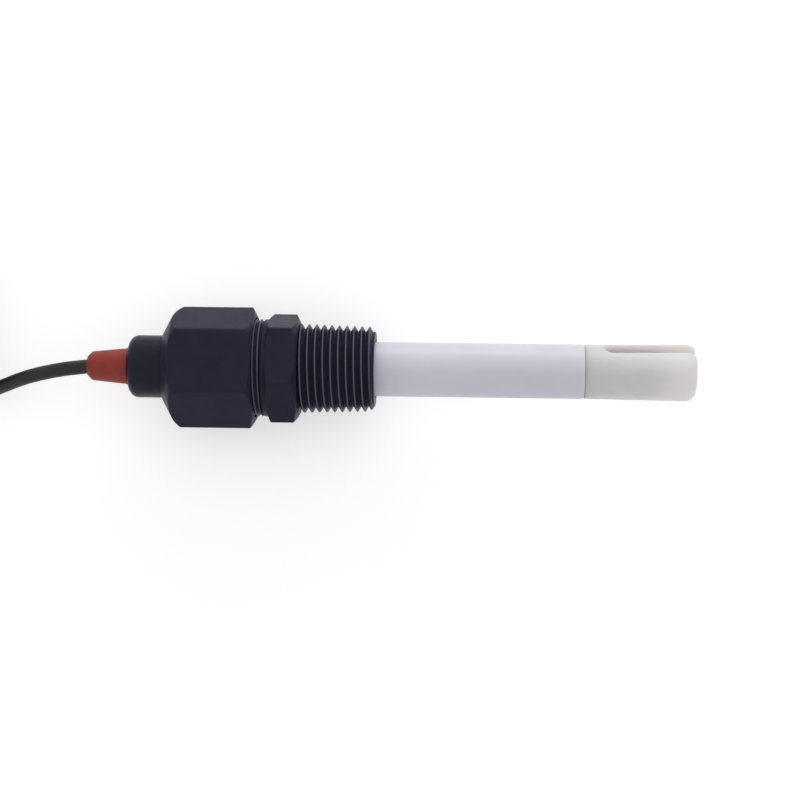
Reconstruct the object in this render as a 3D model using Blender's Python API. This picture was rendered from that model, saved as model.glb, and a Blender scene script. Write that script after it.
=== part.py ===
"""Inline conductivity probe with a half-inch pipe fitting, lying on a flat of its union nut.

Metres, +Z up. The probe's axis runs along +X, from the cable end to the slotted tip.
The origin is under the middle of the probe, on the surface that it lies on.
Places along the axis are given as a distance back from the tip, and at() turns them into X.
"""
import math

import bmesh
import bpy
from mathutils import Matrix, Vector

# Fits
GAP = 0.0003                  # between pieces that touch or slide
BITE = 0.0006                 # how far joined shapes run into each other
PASS = 0.002                  # how far a cutter runs past what it cuts

# Lengths along the axis
OVERALL_LENGTH = 0.135        # neck end to tip
INSERTION_LENGTH = 0.094      # hex shoulder to tip
STEM_LENGTH = 0.076           # small end of the pipe thread to tip
SLEEVE_LENGTH = 0.0262
BODY_HEX_LENGTH = 0.0074
BARE_THREAD_LENGTH = 0.0031   # union thread left showing between hex and nut
NUT_LENGTH = 0.0223
NUT_END_WALL = 0.0081         # nut's left face to its inner shoulder
RELIEF_LENGTH = 0.0103
RELIEF_STUB_LENGTH = 0.005

# Probe stem and cell
STEM_DIAMETER = 0.0130
STEM_BORE = 0.0100
STEM_EDGE = 0.00025
SLEEVE_ROOT_DIAMETER = 0.0129
SLEEVE_TIP_DIAMETER = 0.0135
SLEEVE_BORE = 0.0095
SLEEVE_TIP_ROUND = 0.0026     # along the axis; across it the rounding takes all but the rim
SLEEVE_RIM = 0.0001
SLOT_WIDTH = 0.0042
SLOT_TURN = math.radians(56)  # from straight up towards +Y
CARRIER_NOSE = 0.0043         # inside the sleeve
CARRIER_SHANK = 0.0100        # inside the stem
CHAMBER_DEPTH = SLEEVE_LENGTH - CARRIER_NOSE
SLOT_LIP = 0.0002             # sleeve left between the slots' inner ends and the chamber's floor
SLOT_LENGTH = CHAMBER_DEPTH - SLOT_LIP
PLATE_THICKNESS = 0.0007
PLATE_WIDTH = 0.0050
PLATE_LENGTH = 0.0140         # stands in the chamber
PLATE_SEAT = 0.0022           # sunk in the carrier
PLATE_SPACING = 0.0059        # between the facing sides
CAPSULE_DIAMETER = 0.0026
CAPSULE_REACH = 0.0040        # stands in the chamber
CAPSULE_SEAT = 0.0045

# Fitting body
BODY_ACROSS_FLATS = 0.0234
BODY_HEX_TURN = math.radians(7)
BODY_HEX_CORNER = 0.0005
BODY_SHOULDER_RADIUS = 0.0109
BODY_BACK_RADIUS = 0.0119
CHAMFER_SLOPE = math.tan(math.radians(26))
THREAD_PITCH = 0.0254 / 14
THREAD_SMALL_RADIUS = 0.01015
THREAD_TAPER = 1 / 32         # growth of the radius along the length
THREAD_DEPTH = 0.0012
THREAD_CREST = 0.12           # flat at the crest, as a share of the pitch
THREAD_START = 0.88           # phase of the first crest, as a share of the pitch
UNION_THREAD_RADIUS = 0.01165
UNION_THREAD_ENGAGED = 0.0082
O_RING_THICKNESS = 0.0018
O_RING_PLACE = 0.0980

# Nut, head and seals
NUT_ACROSS_FLATS = 0.0256
NUT_CORNER = 0.0005
NUT_FACE_RADIUS = 0.0083
NUT_FLARE_RADIUS = 0.0134
NUT_FLARE_LENGTH = 0.0028
NUT_BROW_LENGTH = 0.0015      # softer slope between the flare and the corners
NUT_MOUTH_RADIUS = 0.0122
GASKET_THICKNESS = 0.0010
GASKET_RADIUS = 0.0098
FLANGE_THICKNESS = 0.0027
FLANGE_RADIUS = 0.0102
SLIP_RING_THICKNESS = 0.0011
SLIP_RING_RADIUS = 0.0110
NECK_RADIUS = 0.0075
NECK_ROUND = 0.0029
SPIGOT_LENGTH = 0.0090
RESIN_RADIUS = 0.0035
RESIN_START = 0.0095          # solid neck between the relief's stub and the resin pocket
RESIN_LENGTH = 0.0080

# Strain relief, cable and what is on its end
RELIEF_ROOT_RADIUS = 0.0044
RELIEF_END_RADIUS = 0.0035
RELIEF_FACE_RADIUS = 0.00245
RELIEF_CHAMFER = 0.0011
RELIEF_STUB_RADIUS = 0.0030
CORD_DIAMETER = 0.0035
CORD_RECESS = 0.0020          # how far inside the relief's mouth the free run begins
LEAD_DIAMETER = 0.0010
LEAD_BUNCH = 0.0010
LEAD_SPREAD = 0.0026
LEAD_SPREAD_LENGTH = 0.0140
LEAD_SEAT = 0.0030
HANK_COLUMNS = 3
HANK_LAYERS = 5
HANK_FOLD_RADIUS = 0.0100     # middle of the innermost turn
HANK_RUN = 0.0550             # straight part of each turn
HANK_NEAR_END = -0.1040       # X of the outside of its fold nearest the probe
HANK_SIDE = 0.0095            # how far its middle line lies off the probe's axis
TIE_WIDTH = 0.0036
TIE_THICKNESS = 0.0011
CONDUCTOR_DIAMETER = 0.0012
CONDUCTOR_COUNT = 4
CONDUCTOR_PACK = 0.00075      # from the sleeve's middle to each of the four, across and up
CONDUCTOR_REACH = 0.0340
CONDUCTOR_FAN_SIDE = 0.0060   # middle of the four lugs, off the probe's axis
CONDUCTOR_STAGGER = 0.0012    # the outer ones end a little sooner
BREAKOUT_DIAMETER = 0.0046
BREAKOUT_LENGTH = 0.0160
LUG_BARREL_DIAMETER = 0.0030
LUG_BARREL_LENGTH = 0.0070
LUG_TONGUE_WIDTH = 0.0058
LUG_TONGUE_LENGTH = 0.0090
LUG_TONGUE_THICKNESS = 0.0008
LUG_SLOT_WIDTH = 0.0032
LUG_SLOT_LENGTH = 0.0060
LUG_SPACE = 0.0012            # between the tongues of two lugs

# Fineness
ROUND_STEPS = 40
SMALL_STEPS = 24
THREAD_STEPS = 32
FOLD_STEPS = 14

# The cord's way down to the hank, chosen by hand. It ends where the hank's outermost turn begins
LEAD_IN = [
    (-0.0780, -0.0008, 0.01275),
    (-0.0835, -0.0018, 0.01235),
    (-0.0885, -0.0029, 0.01100),
    (-0.0935, -0.0043, 0.00840),
    (-0.0985, -0.0057, 0.00550),
    (-0.1030, -0.0067, 0.00330),
    (-0.1075, -0.0074, 0.00210),
    (-0.1112, -0.0075, 0.00178),
]
LEAD_OUT_TURN = math.radians(60)   # of the near fold, lying on the hank
LEAD_OUT_RUN = 0.0040

X_TIP = (OVERALL_LENGTH + RELIEF_LENGTH) / 2
AXIS_HEIGHT = NUT_ACROSS_FLATS / 2


def at(from_tip):
    """X of a place given as a distance back from the tip."""
    return X_TIP - from_tip


# Places along the axis, as distances back from the tip
HEX_BACK = INSERTION_LENGTH + BODY_HEX_LENGTH
NUT_MOUTH = HEX_BACK + BARE_THREAD_LENGTH
NUT_FACE = NUT_MOUTH + NUT_LENGTH
FITTING_END = NUT_MOUTH + UNION_THREAD_ENGAGED
GASKET_BACK = FITTING_END + GAP + GASKET_THICKNESS
FLANGE_FRONT = GASKET_BACK + GAP
FLANGE_BACK = FLANGE_FRONT + FLANGE_THICKNESS
SLIP_RING_BACK = FLANGE_BACK + GAP + SLIP_RING_THICKNESS
NUT_SHOULDER = max(NUT_FACE - NUT_END_WALL, SLIP_RING_BACK + GAP)
STEM_BACK = FLANGE_FRONT - GAP
CARRIER_BACK = SLEEVE_LENGTH + CARRIER_SHANK
RELIEF_STUB_END = OVERALL_LENGTH + GAP - RELIEF_STUB_LENGTH
RESIN_BACK = OVERALL_LENGTH - RESIN_START
CABLE_END = RESIN_BACK - RESIN_LENGTH - 0.003
CABLE_START = OVERALL_LENGTH + RELIEF_LENGTH - CORD_RECESS

CORD_RADIUS = CORD_DIAMETER / 2
CABLE_HOLE = CORD_RADIUS + GAP
STEM_RADIUS = STEM_DIAMETER / 2
STEM_PASSAGE = STEM_RADIUS + GAP


def clear_scene():
    for item in list(bpy.data.objects):
        bpy.data.objects.remove(item, do_unlink=True)


def material(name, colour, roughness, metallic=0.0):
    made = bpy.data.materials.new(name)
    made.use_nodes = True
    shader = made.node_tree.nodes["Principled BSDF"]
    shader.inputs["Base Color"].default_value = (*colour, 1.0)
    shader.inputs["Roughness"].default_value = roughness
    shader.inputs["Metallic"].default_value = metallic
    made.diffuse_color = (*colour, 1.0)
    return made


def place_mesh(name, bm, finish, smooth=True):
    """Turns a bmesh into a named object and gives it its material."""
    bmesh.ops.remove_doubles(bm, verts=bm.verts, dist=1e-7)
    bmesh.ops.dissolve_degenerate(bm, edges=bm.edges, dist=1e-7)
    bmesh.ops.recalc_face_normals(bm, faces=bm.faces)
    mesh = bpy.data.meshes.new(name)
    bm.to_mesh(mesh)
    bm.free()
    if smooth:
        mesh.shade_smooth()
        mesh.set_sharp_from_angle(angle=math.radians(30))
    item = bpy.data.objects.new(name, mesh)
    bpy.context.collection.objects.link(item)
    if finish:
        mesh.materials.append(finish)
    return item


def on_axis(item):
    """Lifts a piece that was made around the X axis onto the probe's axis."""
    item.location.z += AXIS_HEIGHT
    return item


def turned_bmesh(profile, steps):
    """Spins a closed outline of (X, radius) points round the X axis."""
    bm = bmesh.new()
    points = [bm.verts.new((x, 0.0, radius)) for x, radius in profile]
    edges = [bm.edges.new((a, b)) for a, b in zip(points, points[1:] + points[:1])]
    bmesh.ops.spin(bm, geom=points + edges, cent=(0, 0, 0), axis=(1, 0, 0),
                   angle=math.tau, steps=steps, use_merge=True, use_duplicate=False)
    return bm


def turned(name, profile, finish, steps=ROUND_STEPS):
    return on_axis(place_mesh(name, turned_bmesh(profile, steps), finish))


def arc(centre, radius, start, end, steps):
    """Points of an arc in the (X, radius) plane; angles in degrees, 0 along +X."""
    turns = [math.radians(start + (end - start) * i / steps) for i in range(steps + 1)]
    return [(centre[0] + radius * math.cos(t), centre[1] + radius * math.sin(t)) for t in turns]


def prism_bmesh(outline, start, end):
    """Extrudes an outline of (Y, Z) points along X."""
    bm = bmesh.new()
    face = bm.faces.new([bm.verts.new((start, y, z)) for y, z in outline])
    grown = bmesh.ops.extrude_face_region(bm, geom=[face])
    moved = [v for v in grown["geom"] if isinstance(v, bmesh.types.BMVert)]
    bmesh.ops.translate(bm, verts=moved, vec=(end - start, 0, 0))
    return bm


def hex_outline(across_flats, corner_radius, turn):
    """A hexagon with a flat at the bottom and rounded corners, turned about its centre."""
    inner = (across_flats / 2 - corner_radius) / math.cos(math.radians(30))
    points = []
    for side in range(6):
        middle = math.radians(60 * side) + turn
        centre = Vector((math.cos(middle), math.sin(middle))) * inner
        for lean in (-30, 0, 30):
            way = middle + math.radians(lean)
            points.append(centre + Vector((math.cos(way), math.sin(way))) * corner_radius)
    return [(p.x, p.y) for p in points]


def cylinder_bmesh(start, end, radius, steps=SMALL_STEPS):
    return turned_bmesh([(start, 0), (start, radius), (end, radius), (end, 0)], steps)


def boolean(item, tool, operation):
    """Joins, cuts or crosses a piece with a tool that is kept out of the model."""
    tool.hide_render = True
    tool.display_type = "WIRE"
    step = item.modifiers.new(f"{operation.lower()}_{tool.name}", "BOOLEAN")
    step.operation = operation
    step.solver = "EXACT"
    step.object = tool
    return item


def cut(item, tool):
    return boolean(item, tool, "DIFFERENCE")


def join(item, tool):
    return boolean(item, tool, "UNION")


def cross(item, tool):
    return boolean(item, tool, "INTERSECT")


def turn_about_axis(bm, angle):
    bmesh.ops.rotate(bm, verts=bm.verts, cent=(0, 0, 0), matrix=Matrix.Rotation(angle, 3, "X"))


def box_bmesh(low, high):
    bm = bmesh.new()
    bmesh.ops.create_cube(bm, size=1.0)
    size = Vector(high) - Vector(low)
    bmesh.ops.scale(bm, verts=bm.verts, vec=size)
    bmesh.ops.translate(bm, verts=bm.verts, vec=(Vector(high) + Vector(low)) / 2)
    return bm


def smooth_route(points, spacing):
    """Reads evenly spaced points from the smooth curve through the route's own points."""
    knots = [Vector(p) for p in points]
    ends = [2 * knots[0] - knots[1]] + knots + [2 * knots[-1] - knots[-2]]
    fine = []
    for a, b, c, d in zip(ends, ends[1:], ends[2:], ends[3:]):
        for i in range(24):
            t = i / 24
            fine.append(0.5 * (2 * b + (c - a) * t + (2 * a - 5 * b + 4 * c - d) * t * t
                               + (3 * b - a - 3 * c + d) * t ** 3))
    fine.append(knots[-1])
    lengths = [0.0]
    for a, b in zip(fine, fine[1:]):
        lengths.append(lengths[-1] + (b - a).length)
    count = max(2, round(lengths[-1] / spacing))
    picked = []
    index = 0
    for i in range(count + 1):
        want = lengths[-1] * i / count
        while index < len(fine) - 2 and lengths[index + 1] < want:
            index += 1
        share = (want - lengths[index]) / (lengths[index + 1] - lengths[index])
        picked.append(fine[index].lerp(fine[index + 1], min(1.0, share)))
    return picked


def tube_along(name, points, diameter, finish):
    """A round tube as a poly curve with a bevel and closed ends."""
    curve = bpy.data.curves.new(name, "CURVE")
    curve.dimensions = "3D"
    curve.bevel_depth = diameter / 2
    curve.bevel_resolution = 2
    curve.use_fill_caps = True
    spline = curve.splines.new("POLY")
    spline.points.add(len(points) - 1)
    for slot, point in zip(spline.points, points):
        slot.co = (*point, 1.0)
    curve.materials.append(finish)
    item = bpy.data.objects.new(name, curve)
    bpy.context.collection.objects.link(item)
    return item


# Cell at the tip

def radial_ways():
    """The slots' direction and the one square to it, as (Y, Z) unit vectors."""
    along = Vector((0, math.sin(SLOT_TURN), math.cos(SLOT_TURN)))
    across = Vector((0, -math.cos(SLOT_TURN), math.sin(SLOT_TURN)))
    return along, across


def make_cell_sleeve(finish):
    tip = SLEEVE_TIP_DIAMETER / 2
    root = SLEEVE_ROOT_DIAMETER / 2
    bore = SLEEVE_BORE / 2
    rim = bore + SLEEVE_RIM
    rounding = [(at(SLEEVE_TIP_ROUND * (1 - x)), rim + (tip - rim) * y)
                for x, y in arc((0, 0), 1, 90, 0, 5)]
    profile = [(at(SLEEVE_LENGTH), bore), (at(SLEEVE_LENGTH), root - STEM_EDGE),
               (at(SLEEVE_LENGTH - STEM_EDGE), root), *rounding, (at(0), bore)]
    sleeve = turned("cell_sleeve", profile, finish)

    # One cutter makes both slots: a bar right through, with a round inner end
    half = SLOT_WIDTH / 2
    reach = SLEEVE_TIP_DIAMETER / 2 + PASS
    bend = [(at(SLOT_LENGTH - half) + half * math.cos(t), half * math.sin(t))
            for t in [math.radians(90 + 180 * i / 8) for i in range(9)]]
    outline = [(at(0) + PASS, half), *bend, (at(0) + PASS, -half)]
    bm = bmesh.new()
    face = bm.faces.new([bm.verts.new((x, y, -reach)) for x, y in outline])
    grown = bmesh.ops.extrude_face_region(bm, geom=[face])
    moved = [v for v in grown["geom"] if isinstance(v, bmesh.types.BMVert)]
    bmesh.ops.translate(bm, verts=moved, vec=(0, 0, 2 * reach))
    turn_about_axis(bm, -SLOT_TURN)
    return cut(sleeve, on_axis(place_mesh("slot_cutter", bm, None)))


def make_carrier(finish):
    shank = STEM_BORE / 2 - GAP
    body = SLEEVE_BORE / 2 - GAP
    profile = [(at(CARRIER_BACK), 0), (at(CARRIER_BACK), shank), (at(SLEEVE_LENGTH + GAP), shank),
               (at(SLEEVE_LENGTH + GAP), body), (at(CHAMBER_DEPTH), body), (at(CHAMBER_DEPTH), 0)]
    carrier = turned("electrode_carrier", profile, finish)
    hole = LEAD_DIAMETER / 2 + GAP
    for number, way in enumerate(lead_ways()):
        bm = cylinder_bmesh(at(CARRIER_BACK) - PASS, at(CARRIER_BACK - LEAD_SEAT), hole, 12)
        bmesh.ops.translate(bm, verts=bm.verts, vec=way * LEAD_SPREAD)
        cut(carrier, on_axis(place_mesh(f"lead_hole_{number + 1}", bm, None)))
    bm = cylinder_bmesh(at(CHAMBER_DEPTH + CAPSULE_SEAT), at(CHAMBER_DEPTH) + PASS,
                        CAPSULE_DIAMETER / 2 + GAP, 16)
    cut(carrier, on_axis(place_mesh("capsule_hole", bm, None)))
    for side in (-1, 1):
        bm = plate_bmesh(side, PLATE_SEAT, -PASS, GAP)
        cut(carrier, on_axis(place_mesh(f"plate_groove_{'a' if side < 0 else 'b'}", bm, None)))
    return carrier


def plate_bmesh(side, back, front, grow):
    """A flat bar beside the chamber's middle, from behind its floor to a distance before it."""
    middle = side * (PLATE_SPACING + PLATE_THICKNESS) / 2
    wide = PLATE_WIDTH / 2 + grow
    thick = PLATE_THICKNESS / 2 + grow
    low = (at(CHAMBER_DEPTH + back), middle - thick, -wide)
    high = (at(CHAMBER_DEPTH + front), middle + thick, wide)
    bm = box_bmesh(low, high)
    turn_about_axis(bm, -SLOT_TURN)
    return bm


def make_plates(finish):
    for number, side in enumerate((-1, 1)):
        bm = plate_bmesh(side, PLATE_SEAT - GAP, -PLATE_LENGTH, 0)
        on_axis(place_mesh(f"electrode_plate_{number + 1}", bm, finish, smooth=False))


def make_capsule(finish):
    radius = CAPSULE_DIAMETER / 2
    dome = arc((at(CHAMBER_DEPTH - CAPSULE_REACH + radius), 0), radius, 90, 0, 4)
    profile = [(at(CHAMBER_DEPTH + CAPSULE_SEAT - GAP), 0), (at(CHAMBER_DEPTH + CAPSULE_SEAT - GAP), radius),
               *dome]
    turned("thermistor_capsule", profile, finish, 16)


# Stem, head and leads

def make_stem(finish):
    front = SLEEVE_LENGTH + GAP
    outer = STEM_RADIUS
    bore = STEM_BORE / 2
    profile = [(at(STEM_BACK), bore), (at(STEM_BACK), outer), (at(front + STEM_EDGE), outer),
               (at(front), outer - STEM_EDGE), (at(front), bore)]
    turned("probe_stem", profile, finish)


def make_head(finish):
    rounding = arc((at(OVERALL_LENGTH) + NECK_ROUND, NECK_RADIUS - NECK_ROUND), NECK_ROUND, 180, 90, 5)
    spigot = STEM_BORE / 2 - GAP
    stub_hole = RELIEF_STUB_RADIUS + GAP
    stub_floor = at(RELIEF_STUB_END - GAP)
    spigot_end = at(FLANGE_FRONT - SPIGOT_LENGTH)
    profile = [(at(OVERALL_LENGTH), stub_hole), *rounding, (at(FLANGE_BACK), NECK_RADIUS),
               (at(FLANGE_BACK), FLANGE_RADIUS), (at(FLANGE_FRONT), FLANGE_RADIUS),
               (at(FLANGE_FRONT), spigot), (spigot_end, spigot), (spigot_end, RESIN_RADIUS),
               (at(RESIN_BACK), RESIN_RADIUS), (at(RESIN_BACK), CABLE_HOLE),
               (stub_floor, CABLE_HOLE), (stub_floor, stub_hole)]
    turned("rear_head", profile, finish, 32)


def make_resin(finish):
    outer = RESIN_RADIUS - GAP
    back = at(RESIN_BACK - GAP)
    front = at(RESIN_BACK - RESIN_LENGTH)
    profile = [(back, CABLE_HOLE), (back, outer), (front, outer), (front, CABLE_HOLE)]
    turned("resin_seal", profile, finish, SMALL_STEPS)


def make_cable_inlet(finish):
    profile = [(at(CABLE_START), 0), (at(CABLE_START), CORD_RADIUS), (at(CABLE_END), CORD_RADIUS),
               (at(CABLE_END), 0)]
    turned("cable_inlet", profile, finish, SMALL_STEPS)


def make_relief(finish):
    left = OVERALL_LENGTH + RELIEF_LENGTH
    root = OVERALL_LENGTH + GAP
    profile = [(at(left), CABLE_HOLE), (at(left), RELIEF_FACE_RADIUS),
               (at(left - RELIEF_CHAMFER), RELIEF_END_RADIUS), (at(root), RELIEF_ROOT_RADIUS),
               (at(root), RELIEF_STUB_RADIUS), (at(RELIEF_STUB_END), RELIEF_STUB_RADIUS),
               (at(RELIEF_STUB_END), CABLE_HOLE)]
    turned("strain_relief", profile, finish, 32)


def lead_ways():
    """Unit directions of the four leads about the axis."""
    turns = [SLOT_TURN + math.radians(45 + 90 * i) for i in range(4)]
    return [Vector((0, math.sin(t), math.cos(t))) for t in turns]


def make_leads(finishes):
    start = at(CABLE_END) + GAP
    end = at(CARRIER_BACK - LEAD_SEAT) - GAP
    spread_end = start + LEAD_SPREAD_LENGTH
    for number, way in enumerate(lead_ways()):
        points = []
        for i in range(9):
            share = i / 8
            ease = share * share * (3 - 2 * share)
            points.append(Vector((start + LEAD_SPREAD_LENGTH * share, 0, AXIS_HEIGHT))
                          + way * (LEAD_BUNCH + (LEAD_SPREAD - LEAD_BUNCH) * ease))
        points.append(Vector(((spread_end + end) / 2, 0, AXIS_HEIGHT)) + way * LEAD_SPREAD)
        points.append(Vector((end, 0, AXIS_HEIGHT)) + way * LEAD_SPREAD)
        tube_along(f"inner_lead_{number + 1}", points, LEAD_DIAMETER, finishes[number])


# Fitting

def thread_bmesh(start, end, small_radius):
    """A tapered right-hand thread as one closed skin, with its ends flat at the root."""
    crest = THREAD_CREST / 2
    marks = [(-crest, 0), (crest, 0), (0.5 - crest, THREAD_DEPTH), (0.5 + crest, THREAD_DEPTH)]
    turns = math.ceil((end - start) / THREAD_PITCH) + 3
    bm = bmesh.new()

    def radius_at(x):
        return small_radius + (end - x) * THREAD_TAPER

    rows = []
    for turn in range(turns):
        for share, depth in marks:
            row = []
            for step in range(THREAD_STEPS + 1):
                x = start + (turn + share + step / THREAD_STEPS - 1 - THREAD_START) * THREAD_PITCH
                if x <= start:
                    x, drop = start, THREAD_DEPTH
                elif x >= end:
                    x, drop = end, THREAD_DEPTH
                else:
                    drop = depth
                angle = math.tau * step / THREAD_STEPS
                reach = radius_at(x) - drop
                row.append(bm.verts.new((x, reach * math.cos(angle), reach * math.sin(angle))))
            rows.append(row)
    for low, high in zip(rows, rows[1:]):
        for i in range(THREAD_STEPS):
            bm.faces.new((low[i], low[i + 1], high[i + 1], high[i]))
    bmesh.ops.remove_doubles(bm, verts=bm.verts, dist=1e-6)
    bmesh.ops.dissolve_degenerate(bm, edges=bm.edges, dist=1e-6)
    rim = [e for e in bm.edges if e.is_boundary]
    bmesh.ops.holes_fill(bm, edges=rim, sides=0)
    return bm


def make_fitting(finish):
    shoulder = at(INSERTION_LENGTH)
    back = at(HEX_BACK)
    half = BODY_ACROSS_FLATS / 2
    corner = half / math.cos(math.radians(30))
    outline = hex_outline(BODY_ACROSS_FLATS, BODY_HEX_CORNER, -BODY_HEX_TURN)
    body = on_axis(place_mesh("fitting_body", prism_bmesh(outline, back, shoulder), finish))

    # Both ends of the hex are turned down to a shallow cone
    rise_back = (corner - BODY_BACK_RADIUS) * CHAMFER_SLOPE
    rise_front = (corner - BODY_SHOULDER_RADIUS) * CHAMFER_SLOPE
    spread = BITE / CHAMFER_SLOPE
    envelope = [(back - BITE, 0), (back - BITE, BODY_BACK_RADIUS - spread), (back + rise_back, corner),
                (shoulder - rise_front, corner), (shoulder + BITE, BODY_SHOULDER_RADIUS - spread),
                (shoulder + BITE, 0)]
    cross(body, turned("hex_envelope", envelope, None, 64))

    thread_end = at(STEM_LENGTH)
    thread = thread_bmesh(shoulder - BITE, thread_end, THREAD_SMALL_RADIUS)
    join(body, on_axis(place_mesh("pipe_thread", thread, None)))

    chamfer = 0.0005
    rear = [(at(FITTING_END), 0), (at(FITTING_END), UNION_THREAD_RADIUS - chamfer),
            (at(FITTING_END) + chamfer, UNION_THREAD_RADIUS), (back + BITE, UNION_THREAD_RADIUS),
            (back + BITE, 0)]
    join(body, turned("union_thread", rear, None))

    groove = STEM_PASSAGE + O_RING_THICKNESS + GAP
    side = O_RING_THICKNESS / 2 + GAP
    ring_at = at(O_RING_PLACE)
    bore = [(at(FITTING_END) - PASS, 0), (at(FITTING_END) - PASS, STEM_PASSAGE),
            (ring_at - side, STEM_PASSAGE), (ring_at - side, groove), (ring_at + side, groove),
            (ring_at + side, STEM_PASSAGE), (thread_end + PASS, STEM_PASSAGE), (thread_end + PASS, 0)]
    return cut(body, turned("fitting_bore", bore, None))


def make_o_ring(finish):
    thick = O_RING_THICKNESS / 2
    section = arc((at(O_RING_PLACE), STEM_PASSAGE + thick), thick, 0, 360, 8)[:-1]
    turned("stem_o_ring", section, finish, 32)


def make_gasket(finish):
    front = at(FITTING_END + GAP)
    back = at(GASKET_BACK)
    profile = [(back, STEM_PASSAGE), (back, GASKET_RADIUS), (front, GASKET_RADIUS), (front, STEM_PASSAGE)]
    turned("union_gasket", profile, finish)


def make_slip_ring(finish):
    inner = NECK_RADIUS + GAP
    front = at(FLANGE_BACK + GAP)
    back = at(SLIP_RING_BACK)
    profile = [(back, inner), (back, SLIP_RING_RADIUS), (front, SLIP_RING_RADIUS), (front, inner)]
    turned("slip_ring", profile, finish)


def make_nut(finish):
    face = at(NUT_FACE)
    mouth = at(NUT_MOUTH)
    corner = NUT_ACROSS_FLATS / 2 / math.cos(math.radians(30))
    outline = hex_outline(NUT_ACROSS_FLATS, NUT_CORNER, 0)
    nut = on_axis(place_mesh("union_nut", prism_bmesh(outline, face, mouth), finish))

    rise = (corner - NUT_MOUTH_RADIUS) * CHAMFER_SLOPE
    flare_slope = (NUT_FLARE_RADIUS - NUT_FACE_RADIUS) / NUT_FLARE_LENGTH
    envelope = [(face - BITE, 0), (face - BITE, NUT_FACE_RADIUS - BITE * flare_slope),
                (face + NUT_FLARE_LENGTH, NUT_FLARE_RADIUS),
                (face + NUT_FLARE_LENGTH + NUT_BROW_LENGTH, corner), (mouth - rise, corner),
                (mouth + BITE, NUT_MOUTH_RADIUS - BITE / CHAMFER_SLOPE), (mouth + BITE, 0)]
    cross(nut, turned("nut_envelope", envelope, None, 64))

    neck_hole = NECK_RADIUS + GAP
    cavity = UNION_THREAD_RADIUS + GAP
    shoulder = at(NUT_SHOULDER)
    bore = [(face - PASS, 0), (face - PASS, neck_hole), (shoulder, neck_hole), (shoulder, cavity),
            (mouth + PASS, cavity), (mouth + PASS, 0)]
    return cut(nut, turned("nut_bore", bore, None))


# Cable

def hank_section():
    """Inner and outer radius of the folds, and the height of the wound bundle."""
    inner = HANK_FOLD_RADIUS - CORD_RADIUS
    return inner, inner + HANK_COLUMNS * CORD_DIAMETER, HANK_LAYERS * CORD_DIAMETER


def fold_centres():
    """X of the middle of the near fold and of the far one."""
    near = HANK_NEAR_END - hank_section()[1]
    return near, near - HANK_RUN


def make_cord(finish):
    spacing = 2 * CORD_DIAMETER
    exit_point = (at(CABLE_START + GAP), 0, AXIS_HEIGHT)
    lead_in = smooth_route([exit_point] + LEAD_IN, spacing)
    tube_along("cord_lead_in", lead_in, CORD_DIAMETER, finish)
    tube_along("cord_lead_out", lead_out_route(), CORD_DIAMETER, finish)


def lead_out_route():
    """Off the innermost turn of the top layer, over the near fold and straight on."""
    centre = fold_centres()[0]
    height = hank_section()[2] + GAP + CORD_RADIUS
    points = []
    for i in range(5):
        turn = LEAD_OUT_TURN * (i / 4 - 1) - math.pi / 2
        points.append(Vector((centre - HANK_FOLD_RADIUS * math.cos(turn),
                              HANK_SIDE + HANK_FOLD_RADIUS * math.sin(turn), height)))
    points[-1].x = centre
    points.append(points[-1] - Vector((LEAD_OUT_RUN, 0, 0)))
    return points


def make_hank(finish):
    inner, outer, height = hank_section()
    soft = CORD_RADIUS * 0.6
    section = [(inner, soft), (inner, height - soft), (inner + soft, height), (outer - soft, height),
               (outer, height - soft), (outer, soft), (outer - soft, 0), (inner + soft, 0)]
    bm = bmesh.new()
    rings = []
    near, far = fold_centres()
    for centre, first in ((near, -math.pi / 2), (far, math.pi / 2)):
        for i in range(FOLD_STEPS + 1):
            turn = first + math.pi * i / FOLD_STEPS
            rings.append([bm.verts.new((centre + radius * math.cos(turn),
                                        HANK_SIDE + radius * math.sin(turn), z)) for radius, z in section])
    for one, two in zip(rings, rings[1:] + rings[:1]):
        for i in range(len(section)):
            j = (i + 1) % len(section)
            bm.faces.new((one[i], one[j], two[j], two[i]))
    hank = place_mesh("cord_hank", bm, finish)

    # The tie pulls the bundle in, so it lies in a groove and flush with the turns
    return cut(hank, tie_block("tie_groove", TIE_WIDTH + 2 * GAP, TIE_THICKNESS + GAP, 0.004, None))


def tie_block(name, width, thickness, proud, finish):
    """A loop round the hank's waist; proud is how far its outside stands out."""
    half = hank_section()[1]
    height = hank_section()[2]
    outside = [(-half - proud, -proud), (half + proud, -proud),
               (half + proud, height + proud), (-half - proud, height + proud)]
    inside = [(-half + thickness, thickness), (half - thickness, thickness),
              (half - thickness, height - thickness), (-half + thickness, height - thickness)]
    bm = bmesh.new()
    rings = []
    for x in (-width / 2, width / 2):
        rings.append(([bm.verts.new((x, y, z)) for y, z in outside],
                      [bm.verts.new((x, y, z)) for y, z in inside]))
    for i in range(4):
        j = (i + 1) % 4
        bm.faces.new((rings[0][0][i], rings[0][0][j], rings[1][0][j], rings[1][0][i]))
        bm.faces.new((rings[0][1][i], rings[0][1][j], rings[1][1][j], rings[1][1][i]))
        for outer_ring, inner_ring in rings:
            bm.faces.new((outer_ring[i], outer_ring[j], inner_ring[j], inner_ring[i]))
    item = place_mesh(name, bm, finish, smooth=False)
    item.location = (sum(fold_centres()) / 2, HANK_SIDE, 0)
    return item


def make_tie(finish):
    tie_block("hank_tie", TIE_WIDTH, TIE_THICKNESS, 0.0, finish)


def breakout_ends():
    """The sleeve's two ends, in line with the end of the cord and lying on the hank."""
    last = lead_out_route()[-1]
    height = hank_section()[2] + GAP + BREAKOUT_DIAMETER / 2
    start = Vector((last.x - GAP, last.y, height))
    return start, start - Vector((BREAKOUT_LENGTH, 0, 0))


def make_breakout(finish):
    tube_along("breakout_sleeve", list(breakout_ends()), BREAKOUT_DIAMETER, finish)


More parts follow.
